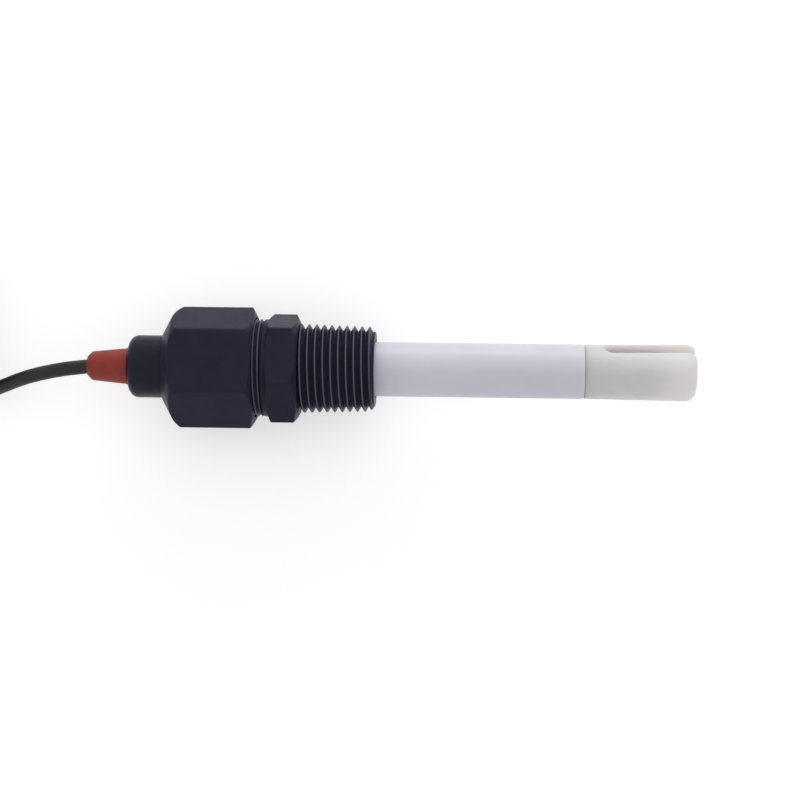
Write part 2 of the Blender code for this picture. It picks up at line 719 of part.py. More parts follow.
def conductor_route(number):
    """A conductor from the breakout sleeve to the back of its lug, fanned out over the hank."""
    start, end = breakout_ends()
    base = hank_section()[2] + GAP
    lean = number - (CONDUCTOR_COUNT - 1) / 2
    low = base + CONDUCTOR_DIAMETER / 2
    pack = math.copysign(CONDUCTOR_PACK, lean)
    top = end.z + (CONDUCTOR_PACK if abs(lean) < 1 else -CONDUCTOR_PACK)
    reach = CONDUCTOR_REACH - CONDUCTOR_STAGGER * abs(lean)
    side_end = CONDUCTOR_FAN_SIDE + (LUG_TONGUE_WIDTH + LUG_SPACE) * lean
    points = []
    for i in range(11):
        share = i / 10
        ease = share * share * (3 - 2 * share)
        side = end.y + pack + (side_end - end.y - pack) * ease
        lift = (base + LUG_BARREL_DIAMETER / 2 - low) * max(0.0, (share - 0.75) / 0.25) ** 2
        height = low + (top - low) * (1 - ease) ** 3 + lift
        points.append(Vector((end.x - GAP - reach * share, side, height)))
    return points


def make_conductors(finishes):
    for number in range(CONDUCTOR_COUNT):
        route = conductor_route(number)
        tube_along(f"conductor_{number + 1}", route, CONDUCTOR_DIAMETER, finishes[number])


def make_lug(number, finish):
    """A fork terminal lying on the hank: a crimp barrel with a flat slotted tongue along -X."""
    end = conductor_route(number)[-1]
    start = end.x - GAP
    radius = LUG_BARREL_DIAMETER / 2
    bm = bmesh.new()
    bmesh.ops.create_cone(bm, cap_ends=True, segments=16, radius1=radius, radius2=radius,
                          depth=LUG_BARREL_LENGTH)
    bmesh.ops.rotate(bm, verts=bm.verts, cent=(0, 0, 0), matrix=Matrix.Rotation(math.pi / 2, 3, "Y"))
    bmesh.ops.translate(bm, verts=bm.verts, vec=(start - LUG_BARREL_LENGTH / 2, end.y, end.z))
    lug = place_mesh(f"fork_lug_{number + 1}", bm, finish)

    half = LUG_TONGUE_WIDTH / 2
    slot = LUG_SLOT_WIDTH / 2
    back = LUG_BARREL_LENGTH - BITE
    front = LUG_BARREL_LENGTH + LUG_TONGUE_LENGTH
    slot_floor = front - LUG_SLOT_LENGTH
    bend = [(slot * math.cos(t), slot_floor + slot + slot * math.sin(t))
            for t in [math.radians(0 - 180 * i / 8) for i in range(9)]]
    side = [(half, slot_floor + slot * 0.4), (half, front - 0.001), (half - 0.0006, front), (slot, front)]
    outline = ([(-radius * 0.7, back), (radius * 0.7, back)] + side + bend
               + [(-x, y) for x, y in reversed(side)])
    bm = bmesh.new()
    face = bm.faces.new([bm.verts.new((start - y, end.y + x, end.z - radius)) for x, y in outline])
    grown = bmesh.ops.extrude_face_region(bm, geom=[face])
    moved = [v for v in grown["geom"] if isinstance(v, bmesh.types.BMVert)]
    bmesh.ops.translate(bm, verts=moved, vec=(0, 0, LUG_TONGUE_THICKNESS))
    return join(lug, place_mesh(f"lug_tongue_{number + 1}", bm, None))


def build():
    clear_scene()
    stem_white = material("stem_plastic", (0.72, 0.73, 0.76), 0.42)
    sleeve_white = material("sleeve_plastic", (0.70, 0.67, 0.64), 0.45)
    fitting_black = material("fitting_plastic", (0.020, 0.018, 0.027), 0.38)
    head_black = material("head_plastic", (0.018, 0.017, 0.024), 0.42)
    relief_red = material("relief_rubber", (0.42, 0.06, 0.035), 0.55)
    jacket_black = material("cord_jacket", (0.020, 0.020, 0.022), 0.5)
    seal_black = material("seal_rubber", (0.012, 0.012, 0.012), 0.6)
    slip_white = material("slip_ring_plastic", (0.75, 0.75, 0.72), 0.35)
    graphite = material("graphite", (0.035, 0.035, 0.037), 0.5)
    steel = material("capsule_steel", (0.55, 0.55, 0.54), 0.3, 1.0)
    resin = material("resin", (0.05, 0.045, 0.04), 0.25)
    tinned = material("tinned_copper", (0.62, 0.60, 0.56), 0.3, 1.0)
    wires = [material("wire_red", (0.50, 0.03, 0.02), 0.45),
             material("wire_black", (0.02, 0.02, 0.02), 0.45),
             material("wire_white", (0.75, 0.75, 0.72), 0.45),
             material("wire_yellow", (0.70, 0.50, 0.05), 0.45)]

    make_cell_sleeve(sleeve_white)
    make_carrier(sleeve_white)
    make_plates(graphite)
    make_capsule(steel)
    make_stem(stem_white)
    make_head(head_black)
    make_resin(resin)
    make_cable_inlet(jacket_black)
    make_relief(relief_red)
    make_leads(wires)
    make_fitting(fitting_black)
    make_o_ring(seal_black)
    make_gasket(seal_black)
    make_slip_ring(slip_white)
    make_nut(fitting_black)
    make_cord(jacket_black)
    make_hank(jacket_black)
    make_tie(seal_black)
    make_breakout(seal_black)
    make_conductors(wires)
    for number in range(CONDUCTOR_COUNT):
        make_lug(number, tinned)


build()
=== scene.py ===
# Looks of an inline conductivity probe: slotted cell, pipe fitting, union nut and tied cable.
# Metres, +Z up, in the CAD's frame. The probe's axis runs along +X at axisHeight above the floor.
# What a user would change is in the dictionary beside each piece's code. Lengths there are in
# millimetres and angles in degrees, and places along the axis are distances from the tip.
import math
from functools import partial

import bmesh
import bpy
import numpy as np
from mathutils import Matrix, Vector


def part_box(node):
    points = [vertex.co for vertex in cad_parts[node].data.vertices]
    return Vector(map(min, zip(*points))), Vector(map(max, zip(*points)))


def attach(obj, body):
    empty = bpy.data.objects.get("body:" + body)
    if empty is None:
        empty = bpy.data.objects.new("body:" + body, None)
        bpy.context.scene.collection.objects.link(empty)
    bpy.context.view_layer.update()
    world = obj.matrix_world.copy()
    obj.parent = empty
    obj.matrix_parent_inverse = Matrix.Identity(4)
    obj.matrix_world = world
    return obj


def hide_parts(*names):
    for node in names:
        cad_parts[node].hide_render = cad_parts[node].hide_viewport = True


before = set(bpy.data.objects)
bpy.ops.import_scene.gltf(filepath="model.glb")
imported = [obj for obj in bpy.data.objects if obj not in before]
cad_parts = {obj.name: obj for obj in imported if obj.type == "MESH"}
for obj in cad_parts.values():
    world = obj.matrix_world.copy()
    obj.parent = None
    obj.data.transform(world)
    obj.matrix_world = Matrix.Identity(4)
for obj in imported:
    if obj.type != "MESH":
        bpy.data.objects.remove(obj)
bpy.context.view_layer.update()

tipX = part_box("cell_sleeve")[1].x
axisHeight = (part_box("union_nut")[0].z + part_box("union_nut")[1].z) / 2
mm = 0.001


def at(fromTip):
    return tipX - fromTip * mm


def link(name, data):
    item = bpy.data.objects.new(name, data)
    bpy.context.scene.collection.objects.link(item)
    return item


photoView = {"aim": (2.667, -7.340, 12.8), "leanAcross": 2.5, "leanDown": 6.0, "roll": 1.012,
             "distance": 410.0, "lens": 77.26}


# Camera, from lines fitted to the photograph
def makeCamera():
    aim = Vector(photoView["aim"]) * mm
    back = Vector((math.tan(math.radians(photoView["leanAcross"])),
                   -math.tan(math.radians(photoView["leanDown"])), 1.0)).normalized()
    right = Vector((0, 1, 0)).cross(back).normalized()
    turn = Matrix((right, back.cross(right), back)).transposed().to_4x4()
    data = bpy.data.cameras.new("photoCamera")
    data.lens = photoView["lens"]
    data.sensor_width = 36.0
    data.clip_start = 0.01
    camera = link("photoCamera", data)
    camera.matrix_world = (Matrix.Translation(aim + back * photoView["distance"] * mm) @ turn
                           @ Matrix.Rotation(math.radians(photoView["roll"]), 4, "Z"))
    bpy.context.scene.camera = camera


makeCamera()
print("camera set")


# Colour and node helpers
def linear(code):
    parts = [int(code[i:i + 2], 16) / 255 for i in (0, 2, 4)]
    return tuple(c / 12.92 if c <= 0.04045 else ((c + 0.055) / 1.055) ** 2.4 for c in parts) + (1.0,)


# Adds a node. Its inputs are by name or in order, a node among them stands for its first output, and
# an operation in place of a kind makes a math node
def addNode(tree, kind, inputs=(), **settings):
    if "Node" not in kind:
        kind, settings = "ShaderNodeMath", {"operation": kind}
    made = tree.nodes.new(kind)
    for name, value in settings.items():
        setattr(made, name, value)
    for socket, value in inputs.items() if isinstance(inputs, dict) else enumerate(inputs):
        if isinstance(value, bpy.types.Node):
            value = value.outputs[0]
        if isinstance(value, bpy.types.NodeSocket):
            tree.links.new(value, made.inputs[socket])
        else:
            made.inputs[socket].default_value = value
    return made


# How each pattern is built: noise detail and roughness, the part of the noise's range in use, and how
# light scatters below the skin
patterns = {"drift": (3.0, 0.6), "mottle": (4.0, 0.65), "grain": (2.0, 0.5), "driftRange": (0.3, 0.7),
            "mottleRange": (0.25, 0.75), "mottleOverGrain": 5, "scatterDepth": 7.0,
            "scatterTint": (1.0, 0.92, 0.86)}


# A polymer or metal surface. Its colour drifts between two tones over driftSize, its gloss follows a
# finer mottle, and its bump adds a grain, pulled out by stretch along X where the process does that.
def surface(name, tones, rough, driftSize=3.0, grainSize=0.3, grainDepth=0.004, stretch=1.0,
            metallic=0.0, specular=0.5, sheen=0.0, subsurface=0.0):
    made = bpy.data.materials.new(name)
    made.use_nodes = True
    tree = made.node_tree
    shader = tree.nodes["Principled BSDF"]
    add = partial(addNode, tree)
    coords = add("ShaderNodeTexCoord").outputs["Object"]
    drawn = add("ShaderNodeMapping", {"Vector": coords, "Scale": (1 / stretch, 1, 1)})
    drift, mottle, grain = (add("ShaderNodeTexNoise", {
        "Vector": vector, "Scale": 1 / (size * mm), "Detail": detail, "Roughness": roughness})
        for vector, size, (detail, roughness) in (
            (coords, driftSize, patterns["drift"]),
            (drawn, grainSize * patterns["mottleOverGrain"], patterns["mottle"]),
            (drawn, grainSize, patterns["grain"])))
    (driftLow, driftHigh), (mottleLow, mottleHigh) = patterns["driftRange"], patterns["mottleRange"]
    share = add("ShaderNodeMapRange", {"Value": drift, "From Min": driftLow, "From Max": driftHigh})
    mix = add("ShaderNodeMix", {0: share, 6: linear(tones[0]), 7: linear(tones[1])}, data_type="RGBA")
    gloss = add("ShaderNodeMapRange", {"Value": mottle, "From Min": mottleLow, "From Max": mottleHigh,
                                       "To Min": rough[0], "To Max": rough[1]})
    bump = add("ShaderNodeBump", {"Height": grain, "Strength": 1.0, "Distance": grainDepth * mm})
    tree.links.new(mix.outputs[2], shader.inputs["Base Color"])
    tree.links.new(gloss.outputs[0], shader.inputs["Roughness"])
    tree.links.new(bump.outputs[0], shader.inputs["Normal"])
    for socket, value in (("Metallic", metallic), ("Specular IOR Level", specular),
                          ("Sheen Weight", sheen), ("Subsurface Weight", subsurface),
                          ("Subsurface Scale", patterns["scatterDepth"] * mm),
                          ("Subsurface Radius", patterns["scatterTint"])):
        shader.inputs[socket].default_value = value
    made.diffuse_color = linear(tones[0])
    return made


finishes = {
    # Extruded white PVC tube: cool white, faint draw lines along its length, a soft satin gloss
    "stem_plastic": surface("stemPvcExtruded", ("dbdce6", "e2e3eb"), (0.34, 0.46), driftSize=14,
                            grainDepth=0.003, stretch=14, specular=0.45),
    # Moulded polyester sleeve: warmer and duller than the stem, with a fine even mould grain
    "sleeve_plastic": surface("sleevePolyesterMoulded", ("f8ece9", "fbf2ef"), (0.40, 0.52),
                              driftSize=5, grainSize=0.22, specular=0.4, subsurface=0.9),
    # Glass-filled nylon, moulded: blue-black with a dry satin skin and slight flow marks
    "fitting_plastic": surface("fittingNylonMoulded", ("2c2839", "322e42"), (0.26, 0.38),
                               driftSize=7, grainSize=0.28, grainDepth=0.006, specular=0.035),
    # Moulded black polypropylene head: a little smoother than the fitting
    "head_plastic": surface("headPolypropyleneMoulded", ("20212f", "262736"), (0.28, 0.38),
                            driftSize=5, grainSize=0.25, specular=0.10),
    # Moulded silicone relief: brick red, matt, with a powdery bloom at its rim
    "relief_rubber": surface("reliefSiliconeMoulded", ("8a2b22", "953427"), (0.46, 0.60),
                             grainSize=0.2, grainDepth=0.005, specular=0.35, sheen=0.05),
    # Extruded PVC jacket: near black, with a low satin gloss and a slightly uneven skin
    "cord_jacket": surface("jacketPvcExtruded", ("19191b", "1f1f22"), (0.34, 0.48), driftSize=4,
                           grainSize=0.4, grainDepth=0.006, specular=0.32),
    # Moulded nitrile rubber: flat black with a dusty grain
    "seal_rubber": surface("sealNitrileMoulded", ("151515", "1c1c1c"), (0.50, 0.66), grainSize=0.2,
                           grainDepth=0.006, specular=0.35),
    # Machined acetal ring: milky white and smooth
    "slip_ring_plastic": surface("slipRingAcetalTurned", ("e4e3de", "ecebe6"), (0.28, 0.38),
                                 grainSize=0.12, grainDepth=0.002),
    # Sawn and ground graphite: soft grey-black sheen with fine pores
    "graphite": surface("plateGraphiteGround", ("2e2e30", "3a3a3c"), (0.42, 0.62), driftSize=1.2,
                        grainSize=0.1, grainDepth=0.006, specular=0.6),
    # Deep-drawn stainless capsule: bright, with faint lengthwise drawing lines
    "capsule_steel": surface("capsuleStainlessDrawn", ("bdbab4", "cac7c1"), (0.20, 0.32),
                             driftSize=1.5, grainSize=0.12, grainDepth=0.002, stretch=12,
                             metallic=1.0),
    # Cast epoxy: dark amber-brown, glossy and slightly uneven
    "resin": surface("resinEpoxyCast", ("3a332c", "453d34"), (0.12, 0.22), driftSize=2,
                     grainSize=0.5),
    # Stamped copper with hot-dip tin: warm silver, uneven bright and dull patches
    "tinned_copper": surface("lugCopperTinned", ("c8c2b6", "d6d1c7"), (0.22, 0.42), driftSize=1.6,
                             grainSize=0.25, metallic=1.0),
}
# Extruded PVC insulation in the four usual colours: smooth and fairly glossy
wireTones = {"red": ("b3261c", "bd3024"), "black": ("1d1d1f", "242426"),
             "white": ("e2e1dc", "eae9e4"), "yellow": ("d9a81f", "e2b32c")}
for colour, tones in wireTones.items():
    finishes["wire_" + colour] = surface("insulationPvc" + colour.title(), tones, (0.28, 0.38),
                                         grainDepth=0.002)
print("materials made")


# Mesh helpers. Points closer than the weld are one point, and edges steeper than sharpEdge stay crisp
weld, sliver = 1e-6, 1e-7
threadWeld, seamWeld = 2e-6, 3e-6
sharpEdge, sharpHexEdge = 32.0, 28.0
# A corner's arc takes at most this share of either side, and one flatter than this half angle has none
arcShare, flatHalf = 0.49, 89.0


def meshOf(name, bm):
    mesh = bpy.data.meshes.new(name)
    bm.to_mesh(mesh)
    bm.free()
    return mesh


def place(name, bm, slot, nodes, body="probe", sharp=sharpEdge):
    bmesh.ops.remove_doubles(bm, verts=bm.verts, dist=weld)
    bmesh.ops.dissolve_degenerate(bm, edges=bm.edges, dist=sliver)
    bmesh.ops.recalc_face_normals(bm, faces=bm.faces)
    mesh = meshOf(name, bm)
    mesh.shade_smooth()
    mesh.set_sharp_from_angle(angle=math.radians(sharp))
    return declare(link(name, mesh), slot, nodes, body)


def declare(item, slot, nodes, body="probe"):
    item.data.materials.clear()
    item.data.materials.append(finishes[slot])
    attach(item, body)
    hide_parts(*nodes)
    return item


# A closed outline of points, where a third value turns the corner into an arc of that radius
def rounded(outline, steps=4):
    count = len(outline)
    made = []
    for i in range(count):
        here = Vector(outline[i][:2])
        before = Vector(outline[i - 1][:2])
        after = Vector(outline[(i + 1) % count][:2])
        radius = outline[i][2] if len(outline[i]) > 2 else 0.0
        into, out = (before - here).normalized(), (after - here).normalized()
        half = into.angle(out, 0.0) / 2
        if radius <= 0 or half > math.radians(flatHalf):
            made.append(tuple(here))
            continue
        room = arcShare * min((before - here).length, (after - here).length)
        reach = min(radius / math.tan(half), room)
        radius = reach * math.tan(half)
        centre = here + (into + out).normalized() * radius / math.sin(half)
        start, end = here + into * reach - centre, here + out * reach - centre
        for k in range(steps + 1):
            share = k / steps
            full = start.angle(end)
            weightA = math.sin((1 - share) * full) / math.sin(full)
            weightB = math.sin(share * full) / math.sin(full)
            made.append(tuple(centre + start * weightA + end * weightB))
    return made


# Faces between rings of equal count, and from the last ring to the first if closed
def skin(bm, grid, closed=True):
    for low, high in zip(grid, grid[1:] + grid[:1] if closed else grid[1:]):
        for i in range(len(low)):
            j = (i + 1) % len(low)
            bm.faces.new((low[i], low[j], high[j], high[i]))


# Rings about the axis, each an X and a radius per column
def loftRings(bm, rings, angles, closed=True):
    grid = []
    for x, radii in rings:
        radii = np.broadcast_to(radii, angles.shape)
        grid.append([bm.verts.new((x, r * math.cos(a), axisHeight + r * math.sin(a)))
                     for r, a in zip(radii, angles)])
    skin(bm, grid, closed)


def turnedPiece(name, outline, slot, node, columns=128):
    bm = bmesh.new()
    angles = np.arange(columns) * math.tau / columns
    loftRings(bm, [(at(u), r * mm) for u, r in rounded(outline)], angles)
    place(name, bm, slot, [node])


# Where an axis point would give a ring of no size, the outline uses this hair's breadth
hair = 0.01


# Corners of an outline by their names in the shape: distance from the tip, radius and rounding
def corners(shape, *names):
    return [tuple(shape[key] for key in name.split()) for name in names]


# Stem and the parts behind the nut
stemShape = {"front": 26.29, "back": 114.0, "radius": 6.5, "bore": 5.0, "edge": 0.3, "innerEdge": 0.1}
turnedPiece("probeStem", corners(
    stemShape, "front radius edge", "back radius innerEdge", "back bore innerEdge",
    "front bore innerEdge"), "stem_plastic", "probe_stem")

headShape = {"end": 135.0, "neck": 7.5, "neckRound": 2.9, "flange": 10.2, "flangeFront": 114.3,
             "flangeBack": 117.0, "spigot": 4.7, "spigotEnd": 105.3, "resin": 3.5, "resinBack": 125.5,
             "hole": 2.05, "stubHole": 3.3, "stubFloor": 130.0, "edge": 0.3, "fillet": 0.2,
             "holeEdge": 0.15}
turnedPiece("rearHead", corners(
    headShape, "end neck neckRound", "flangeBack neck fillet", "flangeBack flange edge",
    "flangeFront flange edge", "flangeFront spigot fillet", "spigotEnd spigot edge",
    "spigotEnd resin fillet", "resinBack resin fillet", "resinBack hole", "stubFloor hole",
    "stubFloor stubHole", "end stubHole holeEdge"), "head_plastic", "rear_head")

relief = {"face": 145.3, "faceRadius": 2.45, "faceEdge": 0.25, "taperEnd": 144.2, "endRadius": 3.5,
          "taperRound": 0.9, "root": 135.3, "rootRadius": 4.4, "hole": 2.05, "stub": 3.0,
          "stubEnd": 130.3, "edge": 0.2, "holeEdge": 0.15,
          "rootRing": ((136.65, 4.26, 0.25), (136.3, 4.16, 0.12), (136.05, 4.38, 0.2))}
reliefOutline = corners(relief, "face faceRadius faceEdge", "taperEnd endRadius taperRound")
reliefOutline += relief["rootRing"]
reliefOutline += corners(relief, "root rootRadius edge", "root stub edge", "stubEnd stub edge",
                         "stubEnd hole holeEdge", "face hole holeEdge")
turnedPiece("strainRelief", reliefOutline, "relief_rubber", "strain_relief", columns=96)
print("stem, head and relief made")


sleeveShape = {"length": 26.2, "rootRadius": 6.45, "tipRadius": 6.75, "bore": 4.75, "tipRound": 2.6,
               "rim": 0.1, "edge": 0.25, "slotWidth": 4.2, "slotLength": 21.7, "slotTurn": 56.0,
               "softEdge": 0.16, "columns": 72,
               "steps": {"edge": 5, "plain": 5, "slotEnd": 15, "side": 16, "tip": 13}}


# Slotted sleeve: two half shells of the same columns, open to each other behind the slots' inner ends
def makeSleeve():
    s = sleeveShape
    half = s["slotWidth"] / 2
    rimRadius = s["bore"] + s["rim"]
    slotEnd = s["slotLength"]

    def outerRadius(u):
        if u < s["tipRound"]:
            share = 1 - u / s["tipRound"]
            return rimRadius + (s["tipRadius"] - rimRadius) * math.sqrt(max(0.0, 1 - share * share))
        grown = s["rootRadius"] + (s["tipRadius"] - s["rootRadius"]) * (s["length"] - u) / (
            s["length"] - s["tipRound"])
        back = s["length"] - u
        if back < s["edge"]:
            grown -= s["edge"] - math.sqrt(s["edge"] ** 2 - (s["edge"] - back) ** 2)
        return grown

    def slotHalf(u):
        if u >= slotEnd:
            return 0.0
        rest = slotEnd - u
        return half if rest >= half else math.sqrt(half ** 2 - (half - rest) ** 2)

    def arcSteps(stretch):
        return np.linspace(0, math.pi / 2, s["steps"][stretch])

    def straight(start, end, stretch):
        return list(np.linspace(start, end, s["steps"][stretch])[1:])

    stations = [s["length"] - s["edge"] * (1 - math.cos(t)) for t in arcSteps("edge")]
    stations += straight(s["length"] - s["edge"], slotEnd, "plain")
    stations += [slotEnd - half * (1 - math.cos(t)) for t in arcSteps("slotEnd")[1:]]
    stations += straight(slotEnd - half, s["tipRound"], "side")
    stations += [s["tipRound"] * (1 - math.sin(t)) for t in arcSteps("tip")[1:]]
    slotAngle = math.radians(90 - s["slotTurn"])
    columns = s["columns"]
    bm = bmesh.new()

    def arcOf(u, radius, start):
        lean = math.asin(min(1.0, slotHalf(u) / radius))
        turns = np.linspace(start + lean, start + math.pi - lean, columns + 1)
        return [bm.verts.new((at(u), radius * mm * math.cos(a), axisHeight + radius * mm * math.sin(a)))
                for a in turns]

    for start in (slotAngle, slotAngle + math.pi):
        outer = [arcOf(u, outerRadius(u), start) for u in stations]
        inner = [arcOf(u, s["bore"], start) for u in stations]
        for i in range(len(stations) - 1):
            for k in range(columns):
                bm.faces.new((outer[i][k], outer[i + 1][k], outer[i + 1][k + 1], outer[i][k + 1]))
                bm.faces.new((inner[i][k], inner[i][k + 1], inner[i + 1][k + 1], inner[i + 1][k]))
            if stations[i] <= slotEnd + weld:
                for k in (0, columns):
                    bm.faces.new((outer[i][k], outer[i + 1][k], inner[i + 1][k], inner[i][k]))
        for i in (0, len(stations) - 1):
            for k in range(columns):
                bm.faces.new((outer[i][k], outer[i][k + 1], inner[i][k + 1], inner[i][k]))
    item = place("cellSleeve", bm, "sleeve_plastic", ["cell_sleeve"])
    soften(item, s["softEdge"], segments=3, angle=40)


# A bevel on the edges above an angle, applied
def soften(item, width, segments, angle):
    step = item.modifiers.new("soften", "BEVEL")
    step.width = width * mm
    step.segments = segments
    step.limit_method = "ANGLE"
    step.angle_limit = math.radians(angle)
    applyAll(item)
    item.data.shade_smooth()
    item.data.set_sharp_from_angle(angle=math.radians(sharpEdge))


def applyAll(item):
    shown = bpy.context.evaluated_depsgraph_get()
    baked = bpy.data.meshes.new_from_object(item.evaluated_get(shown))
    item.modifiers.clear()
    item.data = baked


makeSleeve()


plateShape = {"thickness": 0.7, "width": 5.0, "spacing": 5.9, "front": 7.9, "back": 23.8, "soft": 0.18,
              "corner": 0.8, "cornerSteps": 5}
capsuleShape = {"radius": 1.3, "tip": 17.9, "back": 26.1, "tipRound": 1.235, "backRound": 0.2}


# Two flat electrodes and the capsule between them
def makeCell():
    p = plateShape
    for number, side in ((1, -1), (2, 1)):
        bm = bmesh.new()
        bmesh.ops.create_cube(bm, size=1.0)
        bmesh.ops.scale(bm, verts=bm.verts, vec=((p["back"] - p["front"]) * mm, p["thickness"] * mm,
                                                 p["width"] * mm))
        ends = [e for e in bm.edges if e.verts[0].co.x > 0 and e.verts[1].co.x > 0
                and e.verts[0].co.z == e.verts[1].co.z]
        bmesh.ops.bevel(bm, geom=ends, offset=p["corner"] * mm, segments=p["cornerSteps"],
                        profile=0.5, affect="EDGES")
        rims = [e for e in bm.edges if e.calc_face_angle(0) > math.radians(sharpEdge)]
        bmesh.ops.bevel(bm, geom=rims, offset=p["soft"] * mm, segments=2, profile=0.5, affect="EDGES")
        middle = side * (p["spacing"] + p["thickness"]) / 2 * mm
        bmesh.ops.translate(bm, verts=bm.verts, vec=(0, middle, 0))
        bmesh.ops.rotate(bm, verts=bm.verts, cent=(0, 0, 0),
                         matrix=Matrix.Rotation(-math.radians(sleeveShape["slotTurn"]), 3, "X"))
        bmesh.ops.translate(bm, verts=bm.verts, vec=(at((p["back"] + p["front"]) / 2), 0, axisHeight))
        place(f"electrodePlate{number}", bm, "graphite", [f"electrode_plate_{number}"])
    c = capsuleShape
    turnedPiece("thermistorCapsule", [
        (c["tip"], hair), (c["tip"], c["radius"], c["tipRound"]),
        (c["back"], c["radius"], c["backRound"]), (c["back"], hair)],
        "capsule_steel", "thermistor_capsule", columns=48)


makeCell()
print("cell made")


# Columns about the axis that stand closer together where the hex has its corners
columnCount = 144
gather = 0.72


def columnAngles(corner):
    even = np.arange(columnCount) * math.tau / columnCount
    return even - gather / 6 * np.sin(6 * (even - corner))


def softMin(a, b, soft):
    share = np.clip(0.5 + 0.5 * (b - a) / soft, 0, 1)
    return b * (1 - share) + a * share - soft * share * (1 - share)


def hexRadii(angles, across, corner, soft):
    lean = np.mod(angles - corner, math.pi / 3) - math.pi / 6
    own = across / 2 / np.cos(lean)
    near = across / 2 / np.cos(math.pi / 3 - np.abs(lean))
    return softMin(own, near, soft)


# A hex's column angles, its radius at each, its widest radius and its chamfer's run for one of rise
def hexForm(shape, corner=0.0):
    angles = columnAngles(corner)
    return (angles, hexRadii(angles, shape["across"], corner, shape["cornerSoft"]),
            shape["across"] / 2 / math.cos(math.pi / 6), math.tan(math.radians(shape["chamferSlope"])))


# Threads by Geometry Nodes: a sheared grid whose rows run along the helix
def threadGroup():
    group = bpy.data.node_groups.new("helicalThread", "GeometryNodeTree")
    face = group.interface
    for kind, names in (
            ("Int", ("Columns", "Rows per turn", "Turns")),
            ("Float", ("Start", "End", "Pitch", "Depth", "Crest", "Root", "Small radius", "Taper",
                       "Phase", "Run-in", "Run-out", "Gather", "Corner", "Axis height")),
            ("Material", ("Finish",))):
        for name in names:
            face.new_socket(name, in_out="INPUT", socket_type="NodeSocket" + kind)
    face.new_socket("Geometry", in_out="OUTPUT", socket_type="NodeSocketGeometry")
    add = partial(addNode, group)
    given = add("NodeGroupInput").outputs

    rows = add("MULTIPLY", [given["Rows per turn"], given["Turns"]])
    grid = add("GeometryNodeMeshGrid", {
        "Size X": rows, "Size Y": given["Columns"], "Vertices X": add("ADD", [rows, 1]),
        "Vertices Y": add("ADD", [given["Columns"], 1])})
    spot = add("ShaderNodeSeparateXYZ", [add("GeometryNodeInputPosition")]).outputs
    row = add("ROUND", [add("ADD", [spot["X"], add("DIVIDE", [rows, 2.0])])])
    column = add("ROUND", [add("ADD", [spot["Y"], add("DIVIDE", [given["Columns"], 2.0])])])

    even = add("MULTIPLY", [add("DIVIDE", [column, given["Columns"]]), math.tau])
    wave = add("SINE", [add("MULTIPLY", [add("SUBTRACT", [even, given["Corner"]]), 6.0])])
    angle = add("SUBTRACT", [even, add("MULTIPLY", [add("DIVIDE", [given["Gather"], 6.0]), wave])])
    turned = add("DIVIDE", [row, given["Rows per turn"]])
    share = add("SUBTRACT", [turned, add("ADD", [given["Phase"], 1.0])])
    passed = add("ADD", [share, add("DIVIDE", [angle, math.tau])])
    along = add("ADD", [given["Start"], add("MULTIPLY", [passed, given["Pitch"]])])
    x = add("MINIMUM", [add("MAXIMUM", [along, given["Start"]]), given["End"]])

    # Share of the way from crest to root, with a flat at each
    cycle = add("FRACT", [add("ADD", [turned, 0.5])])
    fall = add("ShaderNodeMapRange", {
        "Value": add("ABSOLUTE", [add("SUBTRACT", [cycle, 0.5])]),
        "From Min": add("DIVIDE", [given["Crest"], 2.0]),
        "From Max": add("SUBTRACT", [0.5, add("DIVIDE", [given["Root"], 2.0])])})
    fade = add("MINIMUM", [add("ShaderNodeMapRange", {
        "Value": room, "From Max": add("MULTIPLY", [given[name], given["Pitch"]])},
        interpolation_type="SMOOTHSTEP") for room, name in (
            (add("SUBTRACT", [along, given["Start"]]), "Run-in"),
            (add("SUBTRACT", [given["End"], along]), "Run-out"))])
    standing = add("MULTIPLY", [add("SUBTRACT", [1.0, fall]), fade])
    drop = add("MULTIPLY", [given["Depth"], add("SUBTRACT", [1.0, standing])])
    taper = add("MULTIPLY", [add("SUBTRACT", [given["End"], x]), given["Taper"]])
    radius = add("SUBTRACT", [add("ADD", [given["Small radius"], taper]), drop])
    landing = add("ShaderNodeCombineXYZ", [
        x, add("MULTIPLY", [radius, add("COSINE", [angle])]),
        add("ADD", [given["Axis height"], add("MULTIPLY", [radius, add("SINE", [angle])])])])
    moved = add("GeometryNodeSetPosition", {"Geometry": grid, "Position": landing})
    merged = add("GeometryNodeMergeByDistance", {"Geometry": moved, "Distance": threadWeld})
    solid = add("GeometryNodeRealizeInstances", [merged])
    coated = add("GeometryNodeSetMaterial", {"Geometry": solid, "Material": given["Finish"]})
    add("NodeGroupOutput", [coated])
    return group


threads = threadGroup()
# Turns past a thread's ends, so that the helix covers both
spareTurns = 3


# The thread's skin as a mesh, open at its two end rings
def threadSkin(name, settings):
    carrier = link(name, bpy.data.meshes.new(name))
    step = carrier.modifiers.new("thread", "NODES")
    step.node_group = threads
    for socket in threads.interface.items_tree:
        if socket.in_out == "INPUT" and socket.name in settings:
            step[socket.identifier] = settings[socket.name]
    bpy.context.view_layer.update()
    shown = bpy.context.evaluated_depsgraph_get()
    mesh = bpy.data.meshes.new_from_object(carrier.evaluated_get(shown))
    bpy.data.objects.remove(carrier)
    return mesh


